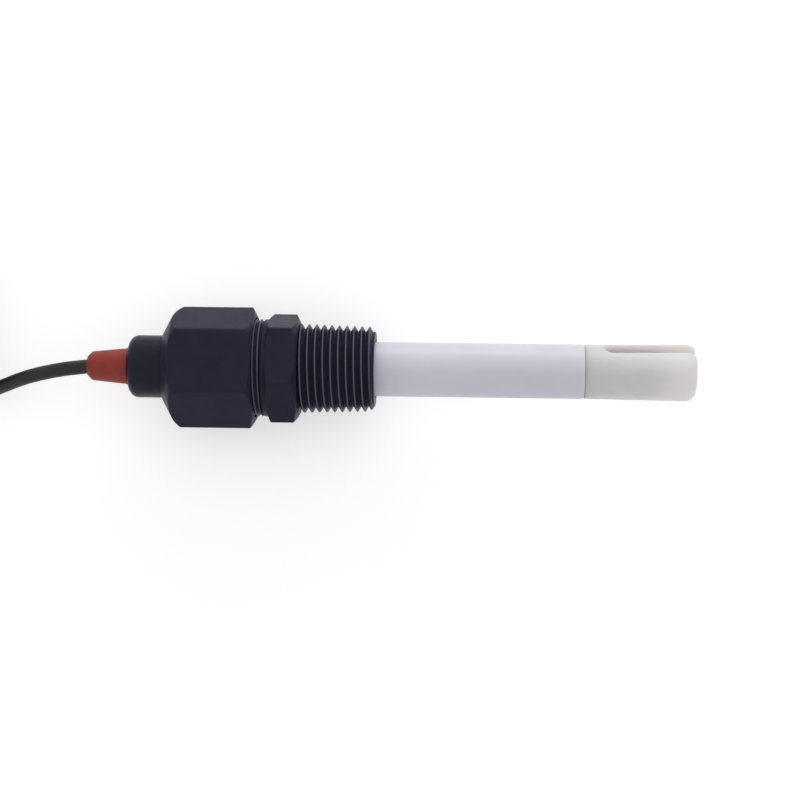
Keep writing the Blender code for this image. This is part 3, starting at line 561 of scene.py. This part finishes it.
hexShape = {"across": 23.4, "turn": 7.0, "front": 94.0, "back": 101.4, "shoulderRadius": 10.9,
            "backRadius": 11.9, "chamferSlope": 26.0, "soft": 0.30, "cornerSoft": 0.55,
            "backSteps": 20, "frontSteps": 26, "plainMargin": 0.5}
pipeThread = {"pitch": 25.4 / 14, "depth": 1.2, "crest": 0.10, "root": 0.10, "smallRadius": 10.15,
              "taper": 1 / 32, "front": 76.0, "phase": 0.88, "runIn": 0.12, "runOut": 0.55, "rows": 16}
unionThread = {"pitch": 1.2, "depth": 0.6, "crest": 0.16, "root": 0.12, "radius": 11.65, "back": 112.7,
               "collar": 1.25, "collarSlope": 0.2, "collarEdge": 0.12,
               "foot": ((0.1, 0.0), (0.02, 0.03)), "endChamfer": 0.25, "phase": 0.45, "runIn": 0.6,
               "runOut": 0.2, "rows": 12}
fittingBore = {"passage": 6.8, "groove": 8.9, "grooveAt": 98.0, "grooveWidth": 2.4, "mouthEdge": 0.2}
# Painted highlights: paler crests on both threads, a tone that stands in for the highlights along them
crestHighlightPaint = {"tone": "605e6b", "band": 0.24, "full": 0.02, "above": 0.1}


# Blends in the painted highlight tone over a band just inside each thread's crest, clear of the hex and
# the nut
def paintCrestHighlights(material):
    tree = material.node_tree
    add = partial(addNode, tree)
    shader = tree.nodes["Principled BSDF"]
    p, u, h, c = pipeThread, unionThread, hexShape, crestHighlightPaint
    spot = add("ShaderNodeSeparateXYZ", [add("ShaderNodeTexCoord").outputs["Object"]]).outputs
    height = add("SUBTRACT", [spot["Z"], axisHeight])
    squares = [add("MULTIPLY", [spot["Y"], spot["Y"]]), add("MULTIPLY", [height, height])]
    radius = add("SQRT", [add("ADD", squares)])
    onPipe = add("GREATER_THAN", [spot["X"], at(h["front"])])
    onUnion = add("MULTIPLY", [add("GREATER_THAN", [spot["X"], at(u["back"])]),
                               add("LESS_THAN", [spot["X"], at(h["back"] + u["collar"])])])
    behind = add("SUBTRACT", [at(p["front"]), spot["X"]])
    pipeCrest = add("ADD", [p["smallRadius"] * mm, add("MULTIPLY", [behind, p["taper"]])])
    crest = add("ADD", [add("MULTIPLY", [onPipe, pipeCrest]),
                        add("MULTIPLY", [onUnion, u["radius"] * mm])])
    below = add("SUBTRACT", [crest, radius])
    band = add("ShaderNodeMapRange", {"Value": below, "From Min": c["band"] * mm,
                                      "From Max": c["full"] * mm}, interpolation_type="SMOOTHSTEP")
    near = add("MULTIPLY", [add("ADD", [onPipe, onUnion]),
                            add("GREATER_THAN", [below, -c["above"] * mm])])
    # Where the painted highlight lies on the crests
    paintedHighlight = add("MULTIPLY", [band, near])
    plain = shader.inputs["Base Color"].links[0].from_socket
    mix = add("ShaderNodeMix", {0: paintedHighlight, 6: plain, 7: linear(c["tone"])}, data_type="RGBA")
    tree.links.new(mix.outputs[2], shader.inputs["Base Color"])


# Fitting body: bore, union thread, hex and pipe thread in one closed skin
def makeFitting():
    h, p, u, b = hexShape, pipeThread, unionThread, fittingBore
    corner = -math.radians(h["turn"])
    angles, hexagon, widest, slope = hexForm(h, corner)
    riseBack = (widest - h["backRadius"]) * slope
    riseFront = (widest - h["shoulderRadius"]) * slope
    unionRoot = u["radius"] - u["depth"]
    pipeRoot = p["smallRadius"] + (h["front"] - p["front"]) * p["taper"] - p["depth"]
    endRoot = p["smallRadius"] - p["depth"]

    chamfer, slant, lip = u["endChamfer"], u["collarSlope"], u["collarEdge"]
    rings = [(at(u["back"]), b["passage"] + chamfer), (at(u["back"]), unionRoot - chamfer),
             (at(u["back"] - chamfer), unionRoot)]
    collarBack = h["back"] + u["collar"]
    outer = [(at(collarBack), unionRoot), (at(collarBack - slant), u["radius"] - lip),
             (at(collarBack - slant - lip), u["radius"])]
    outer += [(at(h["back"] + back), u["radius"] + grown) for back, grown in u["foot"]]
    places = list(np.linspace(h["back"], h["back"] - riseBack - h["plainMargin"], h["backSteps"]))
    places += [(h["back"] + h["front"]) / 2]
    places += list(np.linspace(h["front"] + riseFront + h["plainMargin"], h["front"], h["frontSteps"]))
    for spot in places:
        coneBack = h["backRadius"] + (h["back"] - spot) / slope
        coneFront = h["shoulderRadius"] + (spot - h["front"]) / slope
        outer.append((at(spot), softMin(softMin(hexagon, coneBack, h["soft"]), coneFront, h["soft"])))
    outer += [(at(h["front"]), (pipeRoot + h["shoulderRadius"]) / 2), (at(h["front"]), pipeRoot)]
    bore = [(at(p["front"]), endRoot), (at(p["front"]), b["passage"] + b["mouthEdge"]),
            (at(p["front"] + b["mouthEdge"]), b["passage"])]
    side = b["grooveWidth"] / 2
    bore += [(at(b["grooveAt"] - side), b["passage"]), (at(b["grooveAt"] - side), b["groove"]),
             (at(b["grooveAt"] + side), b["groove"]), (at(b["grooveAt"] + side), b["passage"]),
             (at(u["back"] - chamfer), b["passage"]), (at(u["back"]), b["passage"] + chamfer)]
    bm = bmesh.new()
    for part in (rings, outer, bore):
        loftRings(bm, [(x, np.asarray(r) * mm) for x, r in part], angles, closed=False)
    for name, t, start, end, radius, taper in (
            ("pipeThreadSkin", p, at(h["front"]), at(p["front"]), p["smallRadius"], p["taper"]),
            ("unionThreadSkin", u, at(u["back"] - chamfer), at(collarBack), u["radius"], 0.0)):
        bm.from_mesh(threadSkin(name, {
            "Start": start, "End": end, "Pitch": t["pitch"] * mm, "Depth": t["depth"] * mm,
            "Crest": t["crest"], "Root": t["root"], "Small radius": radius * mm, "Taper": taper,
            "Phase": t["phase"], "Run-in": t["runIn"], "Run-out": t["runOut"],
            "Rows per turn": t["rows"],
            "Turns": math.ceil((end - start) / (t["pitch"] * mm)) + spareTurns, "Gather": gather,
            "Corner": corner, "Columns": columnCount, "Finish": finishes["fitting_plastic"],
            "Axis height": axisHeight}))
    bmesh.ops.remove_doubles(bm, verts=bm.verts, dist=seamWeld)
    place("fittingBody", bm, "fitting_plastic", ["fitting_body"], sharp=sharpHexEdge)


makeFitting()
# Painted highlights on the crests of both threads
paintCrestHighlights(finishes["fitting_plastic"])


nutShape = {"across": 25.6, "face": 126.8, "mouth": 104.5, "faceRadius": 8.3, "flareRadius": 13.4,
            "flareLength": 2.8, "browLength": 1.5, "mouthRadius": 12.2, "chamferSlope": 26.0,
            "neckHole": 7.8, "cavity": 11.95, "shoulder": 118.7, "soft": 0.32, "cornerSoft": 0.6,
            "browSoft": 0.5, "flareReach": 2.4, "flareSteps": 8, "browSteps": 30, "mouthSteps": 26,
            "plainMargin": 0.5, "mouthEdge": 0.25, "shoulderEdge": 0.3, "neckEdge": 0.2,
            "faceEdge": 0.3, "faceGap": 0.05}


def makeNut():
    n = nutShape
    angles, hexagon, widest, slope = hexForm(n)
    rise = (widest - n["mouthRadius"]) * slope
    flare = (n["flareRadius"] - n["faceRadius"]) / n["flareLength"]
    brow = (widest - n["flareRadius"]) / n["browLength"]
    rings = [(n["face"], n["neckHole"] + n["faceGap"])]
    flareStart, margin = n["face"] - n["flareReach"], n["plainMargin"]
    browEnd = n["face"] - n["flareLength"] - n["browLength"] - margin
    places = list(np.linspace(n["face"], flareStart, n["flareSteps"]))
    places += list(np.linspace(flareStart, browEnd, n["browSteps"]))[1:]
    places += [(n["face"] + n["mouth"]) / 2]
    places += list(np.linspace(n["mouth"] + rise + margin, n["mouth"], n["mouthSteps"]))
    for spot in places:
        back = n["face"] - spot
        cone = softMin(n["faceRadius"] + back * flare,
                       n["flareRadius"] + (back - n["flareLength"]) * brow, n["browSoft"])
        mouth = n["mouthRadius"] + (spot - n["mouth"]) / slope
        rings.append((spot, softMin(softMin(hexagon, cone, n["soft"]), mouth, n["soft"])))
    rings += [(n["mouth"], n["cavity"] + n["mouthEdge"]), (n["mouth"] + n["mouthEdge"], n["cavity"]),
              (n["shoulder"] - n["shoulderEdge"], n["cavity"]),
              (n["shoulder"], n["cavity"] - n["shoulderEdge"]),
              (n["shoulder"], n["neckHole"] + n["neckEdge"]),
              (n["shoulder"] + n["neckEdge"], n["neckHole"]),
              (n["face"] - n["faceEdge"], n["neckHole"])]
    bm = bmesh.new()
    loftRings(bm, [(at(x), np.asarray(r) * mm) for x, r in rings], angles)
    place("unionNut", bm, "fitting_plastic", ["union_nut"], body="union_nut", sharp=sharpHexEdge)


makeNut()
print("fitting and nut made")


# The cable: out of the relief, down to the floor, wound into the hank, and on to the breakout sleeve
cordShape = {"diameter": 3.5, "length": 3000.0, "columns": 3, "layers": 5, "foldRadius": 10.0,
             "run": 55.0, "nearEnd": -104.0, "side": 9.5, "turnPoints": 78, "step": 0.15,
             "stepLead": 0.018, "squeeze": 1.25, "squeezeSpread": 4.5, "sway": 0.12, "swayWaves": 3,
             "swayShift": 0.37, "floorGap": 0.03, "topGap": 0.3, "tailGap": 0.33,
             "tailKnots": ((2.5, 19.65), (-2.6, 20.0)), "leadSpacing": 3.5, "tailSpacing": 2.0,
             "splineSteps": 24, "joinGap": 0.3, "facets": 4}
leadIn = [(-71.0, 0.0, 12.8), (-78.0, -0.8, 12.75), (-83.5, -1.8, 12.35), (-88.5, -2.9, 11.0),
          (-93.5, -4.3, 8.4), (-98.5, -5.7, 5.5), (-103.0, -6.7, 3.3), (-107.5, -7.4, 2.1),
          (-111.2, -7.5, 1.78), (-117.0, -7.5, 1.78)]


def smoothLine(points, spacing):
    knots = [Vector(p) for p in points]
    ends = [2 * knots[0] - knots[1]] + knots + [2 * knots[-1] - knots[-2]]
    fine = []
    for a, b, c, d in zip(ends, ends[1:], ends[2:], ends[3:]):
        for t in np.linspace(0, 1, cordShape["splineSteps"], endpoint=False):
            fine.append(0.5 * (2 * b + (c - a) * t + (2 * a - 5 * b + 4 * c - d) * t * t
                               + (3 * b - a - 3 * c + d) * t ** 3))
    fine = np.array(fine + [knots[-1]])
    run = np.concatenate(([0], np.cumsum(np.linalg.norm(np.diff(fine, axis=0), axis=1))))
    wanted = np.linspace(0, run[-1], max(2, round(run[-1] / spacing)) + 1)
    return np.stack([np.interp(wanted, run, fine[:, k]) for k in range(3)], axis=1)


def ease(share):
    share = np.clip(share, 0, 1)
    return share * share * (3 - 2 * share)


# The hank: long turns between two folds, in even layers. Each turn steps to the next turn's place over
# a short stretch, and later turns do so sooner, so that a place is free before the next turn needs it
def hankLine():
    c = cordShape
    d = c["diameter"]
    near = c["nearEnd"] - c["foldRadius"] + d / 2 - c["columns"] * d
    far = near - c["run"]
    turns = c["columns"] * c["layers"]
    height = c["layers"] * d
    fold = math.pi * (c["foldRadius"] + (c["columns"] - 1) * d / 2)
    whole = 2 * (c["run"] + fold)

    def spot(turn):
        if turn == turns:
            return 0, c["layers"]
        layer, rank = divmod(turn, c["columns"])
        return (c["columns"] - 1 - rank if layer % 2 == 0 else rank), layer

    line = []
    for turn in range(turns):
        (column, layer), (nextColumn, nextLayer) = spot(turn), spot(turn + 1)
        stepFrom = 1 - c["step"] - c["stepLead"] * turn
        for u in np.linspace(0, 1, c["turnPoints"], endpoint=False):
            moved = float(ease((u - stepFrom) / c["step"]))
            wide = column + (nextColumn - column) * moved
            high = layer + (nextLayer - layer) * moved
            sway = math.tau * (c["swayWaves"] * u + c["swayShift"] * turn)
            radius = c["foldRadius"] + wide * d + c["sway"] * (math.sin(sway) - 1)
            z = (high + 0.5) * d + c["floorGap"] + c["topGap"] * max(0.0, high - c["layers"] + 1)
            z += c["sway"] * 0.5 * (1 + math.cos(sway)) * (high / c["layers"])
            along = u * whole
            if along < c["run"]:
                x, y = near - along, -radius
            elif along < c["run"] + fold:
                angle = -math.pi / 2 - math.pi * (along - c["run"]) / fold
                x, y = far + radius * math.cos(angle), radius * math.sin(angle)
            elif along < 2 * c["run"] + fold:
                x, y = far + along - c["run"] - fold, radius
            else:
                angle = math.pi / 2 - math.pi * (along - 2 * c["run"] - fold) / fold
                x, y = near + radius * math.cos(angle), radius * math.sin(angle)
            # The tie presses the outer turns in
            tight = math.exp(-((x - (near + far) / 2) / c["squeezeSpread"]) ** 2)
            y -= math.copysign(c["squeeze"] * tight * wide / (c["columns"] - 1), y)
            z += (height / 2 - z) * tight * 2 * c["squeeze"] / height
            line.append((x, c["side"] + y, z))
    line.append((near, c["side"] - c["foldRadius"], height + d / 2 + c["tailGap"]))
    return np.array(line)


def tube(name, points, diameter, facets, slot, nodes):
    data = bpy.data.curves.new(name, "CURVE")
    data.dimensions = "3D"
    data.bevel_depth = diameter * mm / 2
    data.bevel_resolution = facets
    data.use_fill_caps = True
    spline = data.splines.new("POLY")
    spline.points.add(len(points) - 1)
    for knot, point in zip(spline.points, points):
        knot.co = (*(float(v) * mm for v in point), 1.0)
    spline.use_smooth = True
    return declare(link(name, data), slot, nodes)


def joinRuns(*runs):
    made = [runs[0]]
    for run in runs[1:]:
        gap = np.linalg.norm(run[0] - made[-1][-1])
        made.append(run[1:] if gap < cordShape["joinGap"] else run)
    return np.concatenate(made)


# The sleeve at the cable's end, which the cable's tail leads into
breakoutShape = {"diameter": 4.6, "length": 16.0, "pocket": 3.5, "start": (-127.05, -0.5),
                 "play": 0.06, "front": ((0, 0.32, 0.12), (2.2, 0.14, 1.2), (3.6, 0.0, 1.5)),
                 "rear": ((3.0, 0.0, 1.2), (0, 0.12, 0.12)), "wireHole": 1.75, "wireDepth": 2.2,
                 "wireEdge": 0.1, "columns": 48}
hank = hankLine()
tailX, tailY = breakoutShape["start"]
tail = [tuple(hank[-1])] + [(tailX + along, tailY, z) for along, z in cordShape["tailKnots"]]
cableLine = joinRuns(smoothLine(leadIn + [tuple(hank[0])], cordShape["leadSpacing"]), hank,
                     smoothLine(tail, cordShape["tailSpacing"]))
cableLength = np.linalg.norm(np.diff(cableLine, axis=0), axis=1).sum()
print("cable centreline, mm:", round(float(cableLength), 1))
cable = tube("cable", cableLine, cordShape["diameter"], cordShape["facets"], "cord_jacket",
             ["cord_lead_in", "cord_hank", "cord_lead_out"])


tieShape = {"width": 3.6, "thickness": 1.05, "round": 2.4, "floorGap": 0.05, "edgeDepth": 0.14,
            "edgeAt": 0.9, "bendSteps": 6}


def makeTie():
    c, t = cordShape, tieShape
    half = c["foldRadius"] + (c["columns"] - 0.5) * c["diameter"]
    height = c["layers"] * c["diameter"]
    middle = c["nearEnd"] - half - c["run"] / 2

    def loop(inset, bend):
        low, high = t["floorGap"] + inset, height - t["floorGap"] - inset
        across = half - inset
        return rounded([(across, low, bend), (across, high, bend), (-across, high, bend),
                        (-across, low, bend)], t["bendSteps"])

    outline = list(zip(loop(0.0, t["round"]), loop(t["thickness"], t["round"] - t["thickness"])))
    edges = [(-1, t["edgeDepth"]), (-t["edgeAt"], 0.0), (t["edgeAt"], 0.0), (1, t["edgeDepth"])]
    bm = bmesh.new()
    grid = []
    for outer, inner in outline:
        outer, inner = Vector(outer), Vector(inner)
        section = [(side, outer.lerp(inner, sink)) for side, sink in edges]
        section += [(side, inner.lerp(outer, sink)) for side, sink in reversed(edges)]
        grid.append([bm.verts.new(((middle + side * t["width"] / 2) * mm, (c["side"] + p.x) * mm,
                                   p.y * mm)) for side, p in section])
    skin(bm, grid)
    return place("hankTie", bm, "seal_rubber", ["hank_tie"])


tie = makeTie()


# Height of the hank's top, with the small gap that the CAD leaves above it
onHank = cordShape["layers"] * cordShape["diameter"] + cordShape["topGap"]


def makeBreakout():
    b = breakoutShape
    length, radius = b["length"], b["diameter"] / 2
    hole, wireHole = cordShape["diameter"] / 2 + b["play"], b["wireHole"]
    wireFloor = length - b["wireDepth"]
    outline = [(0, hole)] + [(along, radius - less, bend) for along, less, bend in b["front"]]
    outline += [(length - short, radius - less, bend) for short, less, bend in b["rear"]]
    outline += [(length, wireHole, b["wireEdge"]), (wireFloor, wireHole), (wireFloor, hair),
                (b["pocket"], hair), (b["pocket"], hole)]
    bm = bmesh.new()
    grid = []
    for along, r in rounded(outline):
        grid.append([bm.verts.new(((b["start"][0] - along) * mm, (b["start"][1] + r * math.cos(a)) * mm,
                                   (onHank + radius + r * math.sin(a)) * mm))
                     for a in np.arange(b["columns"]) * math.tau / b["columns"]])
    skin(bm, grid)
    return place("breakoutSleeve", bm, "seal_rubber", ["breakout_sleeve"])


breakout = makeBreakout()


conductorShape = {"diameter": 1.2, "pack": 0.75, "reach": 34.0, "stagger": 1.2, "space": 1.2,
                  "fanSide": 6.0, "inside": (2.0, 1.0), "lead": 0.3, "knots": 10, "liftFrom": 0.75,
                  "inLug": 2.2, "spacing": 1.2, "facets": 3}


# The same route as the CAD's: a pack of four in the sleeve, fanned out to the lugs
def conductorLine(number):
    w, g, b = conductorShape, lugShape, breakoutShape
    lean = number - (len(wireTones) - 1) / 2
    low = onHank + w["diameter"] / 2
    pack = math.copysign(w["pack"], lean)
    top = onHank + b["diameter"] / 2 + (w["pack"] if abs(lean) < 1 else -w["pack"])
    reach = w["reach"] - w["stagger"] * abs(lean)
    sideStart = b["start"][1] + pack
    sideEnd = w["fanSide"] + (g["tongueWidth"] + w["space"]) * lean
    end = b["start"][0] - b["length"]
    knots = [(end + back, sideStart, top) for back in w["inside"]]
    for share in np.linspace(0, 1, w["knots"] + 1):
        eased = float(ease(share))
        rise = max(0.0, (share - w["liftFrom"]) / (1 - w["liftFrom"])) ** 2
        knots.append((end - w["lead"] - reach * share, sideStart + (sideEnd - sideStart) * eased,
                      low + (top - low) * (1 - eased) ** 3 + (onHank + g["barrel"] / 2 - low) * rise))
    last = knots[-1]
    return smoothLine(knots + [(last[0] - w["inLug"], last[1], last[2])], w["spacing"]), last


lugShape = {"barrel": 3.0, "barrelLength": 7.0, "tongueWidth": 5.8, "tongueLength": 9.0,
            "tongueThickness": 0.8, "slotWidth": 3.2, "slotLength": 6.0, "lead": 0.3, "boreDepth": 3.0,
            "borePlay": 0.12, "borePoint": 0.1, "mouthDepth": 0.25, "mouthFlare": 0.2, "edge": 0.15,
            "crimpFrom": 0.8, "crimpAt": 3.0, "crimpTo": 5.4, "crimpDepth": 0.75, "crimpSpread": 0.8,
            "crimpWidth": 0.8, "crimpSteps": 14, "neckFrom": 5.6, "neckWidth": 0.95, "neckSquare": 1.35,
            "neckSteps": 6, "overlap": 0.6, "rootWidth": 0.7, "cornerAt": 0.4, "cornerRound": 1.4,
            "tipRound": 0.3, "tipChamfer": (0.6, 1.0), "slotRound": 0.25, "slotSteps": 17,
            "softEdge": 0.1, "columns": 32}


# A fork terminal: a hollow barrel with a crimp pressed in from above, flattened into a slotted tongue
def makeLug(number, end):
    g = lugShape
    radius = g["barrel"] / 2
    start = end[0] - g["lead"]
    thick = g["tongueThickness"]
    bm = bmesh.new()
    grid = []

    def ring(along, r, dent=0.0, flat=0.0, wide=0.0):
        points = []
        for a in np.arange(g["columns"]) * math.tau / g["columns"]:
            y, z = r * math.cos(a), r * math.sin(a)
            if z > 0:
                z -= dent * max(0.0, 1 - (y / (r * g["crimpWidth"])) ** 2)
            square = math.copysign(min(1.0, abs(math.cos(a)) * g["neckSquare"]), math.cos(a))
            y = y * (1 - flat) + flat * wide * square
            z = (radius + z) * (1 - flat) + flat * thick / 2 * (1 + math.sin(a))
            points.append(bm.verts.new(((start - along) * mm, (end[1] + y) * mm, (onHank + z) * mm)))
        grid.append(points)

    inner = conductorShape["diameter"] / 2 + g["borePlay"]
    neckFrom, neckTo, wide = g["neckFrom"], g["barrelLength"], radius * g["neckWidth"]
    for along, r in ((g["boreDepth"], inner * g["borePoint"]), (g["boreDepth"], inner),
                     (g["mouthDepth"], inner), (0.0, inner + g["mouthFlare"]),
                     (0.0, radius - g["edge"]), (g["edge"], radius)):
        ring(along, r)
    for along in np.linspace(g["crimpFrom"], g["crimpTo"], g["crimpSteps"]):
        off = (along - g["crimpAt"]) / g["crimpSpread"]
        ring(along, radius, dent=g["crimpDepth"] * math.exp(-off ** 2))
    for along in np.linspace(neckFrom, neckTo, g["neckSteps"]):
        ring(along, radius, flat=float(ease((along - neckFrom) / (neckTo - neckFrom))), wide=wide)
    ring(neckTo + g["overlap"], radius, flat=1.0, wide=wide)
    skin(bm, grid, closed=False)
    bm.faces.new(grid[0])
    bm.faces.new(grid[-1])
    bmesh.ops.recalc_face_normals(bm, faces=bm.faces)
    barrelMesh = meshOf("lugBarrel", bm)

    half, slotHalf, root = g["tongueWidth"] / 2, g["slotWidth"] / 2, radius * g["rootWidth"]
    back, front = neckTo - g["overlap"], neckTo + g["tongueLength"]
    slotFloor = front - g["slotLength"]
    (cutSide, cutBack), bend = g["tipChamfer"], g["tipRound"]
    cheek = [(half, slotFloor + slotHalf * g["cornerAt"], g["cornerRound"]),
             (half, front - cutBack, bend), (half - cutSide, front, bend),
             (slotHalf, front, g["slotRound"])]
    slot = [(slotHalf * math.cos(t), slotFloor + slotHalf + slotHalf * math.sin(t))
            for t in np.radians(np.linspace(0, -180, g["slotSteps"]))]
    outline = rounded([(-root, back), (root, back)] + cheek + slot
                      + [(-x, y, r) for x, y, r in reversed(cheek)])
    bm = bmesh.new()
    base = bm.faces.new([bm.verts.new(((start - y) * mm, (end[1] + x) * mm, onHank * mm))
                         for x, y in outline])
    grown = bmesh.ops.extrude_face_region(bm, geom=[base])
    bmesh.ops.translate(bm, verts=[v for v in grown["geom"] if isinstance(v, bmesh.types.BMVert)],
                        vec=(0, 0, thick * mm))
    item = place(f"forkLug{number + 1}", bm, "tinned_copper", [f"fork_lug_{number + 1}"])
    barrel = link("lugBarrel", barrelMesh)
    step = item.modifiers.new("barrel", "BOOLEAN")
    step.operation, step.solver, step.object = "UNION", "EXACT", barrel
    bpy.context.view_layer.update()
    applyAll(item)
    bpy.data.objects.remove(barrel)
    soften(item, g["softEdge"], segments=2, angle=50)
    return item


wires, lugs, ends = [], [], []
for number, colour in enumerate(wireTones):
    route, end = conductorLine(number)
    wires.append(tube(f"conductor{number + 1}", route, conductorShape["diameter"],
                      conductorShape["facets"], "wire_" + colour, [f"conductor_{number + 1}"]))
    lugs.append(makeLug(number, end))
    ends.append(route)

print("cable and its end made")


# CAD nodes that keep their shape
kept = {"electrode_carrier": "sleeve_plastic", "resin_seal": "resin", "cable_inlet": "cord_jacket",
        "inner_lead_1": "wire_red", "inner_lead_2": "wire_black", "inner_lead_3": "wire_white",
        "inner_lead_4": "wire_yellow", "stem_o_ring": "seal_rubber", "union_gasket": "seal_rubber",
        "slip_ring": "slip_ring_plastic"}
for name, slotName in kept.items():
    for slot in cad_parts[name].material_slots:
        slot.material = finishes[slotName]


# One for rays from the camera, a mirror or a clear piece, and zero for those that light the object
def seenDirectly(tree):
    add = partial(addNode, tree)
    path = add("ShaderNodeLightPath").outputs
    seen = add("ADD", [path["Is Camera Ray"], path["Is Glossy Ray"]])
    return add("MINIMUM", [1.0, add("ADD", [path["Is Transmission Ray"], seen])])


studio = {"keyStrength": 1.45, "keyAt": (60, 640, 170), "keySize": (560, 240),
          "surround": 0.62, "floor": "f4f4f5", "floorGlow": 0.45, "floorReach": 2500.0,
          "floorDrop": 0.05, "floorRough": 0.9, "floorGloss": 0.1}


# Floor, lamp and surroundings
def makeStudio():
    bm = bmesh.new()
    bmesh.ops.create_grid(bm, x_segments=8, y_segments=8, size=studio["floorReach"] * mm)
    bmesh.ops.translate(bm, verts=bm.verts, vec=(0, 0, -studio["floorDrop"] * mm))
    mesh = meshOf("floor", bm)
    floor = link("floor", mesh)
    paint = bpy.data.materials.new("floorPaper")
    paint.use_nodes = True
    shader = paint.node_tree.nodes["Principled BSDF"]
    shader.inputs["Base Color"].default_value = linear(studio["floor"])
    shader.inputs["Roughness"].default_value = studio["floorRough"]
    shader.inputs["Specular IOR Level"].default_value = studio["floorGloss"]
    # What the camera and mirrors see of the paper is lifted to white, with the object's shadow kept
    shader.inputs["Emission Color"].default_value = (1, 1, 1, 1)
    tree = paint.node_tree
    glow = addNode(tree, "MULTIPLY", [seenDirectly(tree), studio["floorGlow"]])
    tree.links.new(glow.outputs[0], shader.inputs["Emission Strength"])
    mesh.materials.append(paint)

    data = bpy.data.lights.new("keyLamp", "AREA")
    data.shape = "RECTANGLE"
    data.size, data.size_y = (side * mm for side in studio["keySize"])
    data.energy = studio["keyStrength"]
    lamp = link("keyLamp", data)
    lamp.location = Vector(studio["keyAt"]) * mm
    aim = lamp.location - Vector((0, 0, axisHeight))
    lamp.rotation_euler = aim.to_track_quat("Z", "Y").to_euler()

    world = bpy.data.worlds.new("studio")
    world.use_nodes = True
    tree = world.node_tree
    sky = tree.nodes["Background"]
    sky.inputs["Color"].default_value = (1, 1, 1, 1)
    lift = addNode(tree, "MULTIPLY", [seenDirectly(tree), 1.0 - studio["surround"]])
    strength = addNode(tree, "ADD", [studio["surround"], lift])
    tree.links.new(strength.outputs[0], sky.inputs["Strength"])
    bpy.context.scene.world = world
    bpy.context.scene.view_settings.view_transform = "Standard"


makeStudio()
print("studio made")
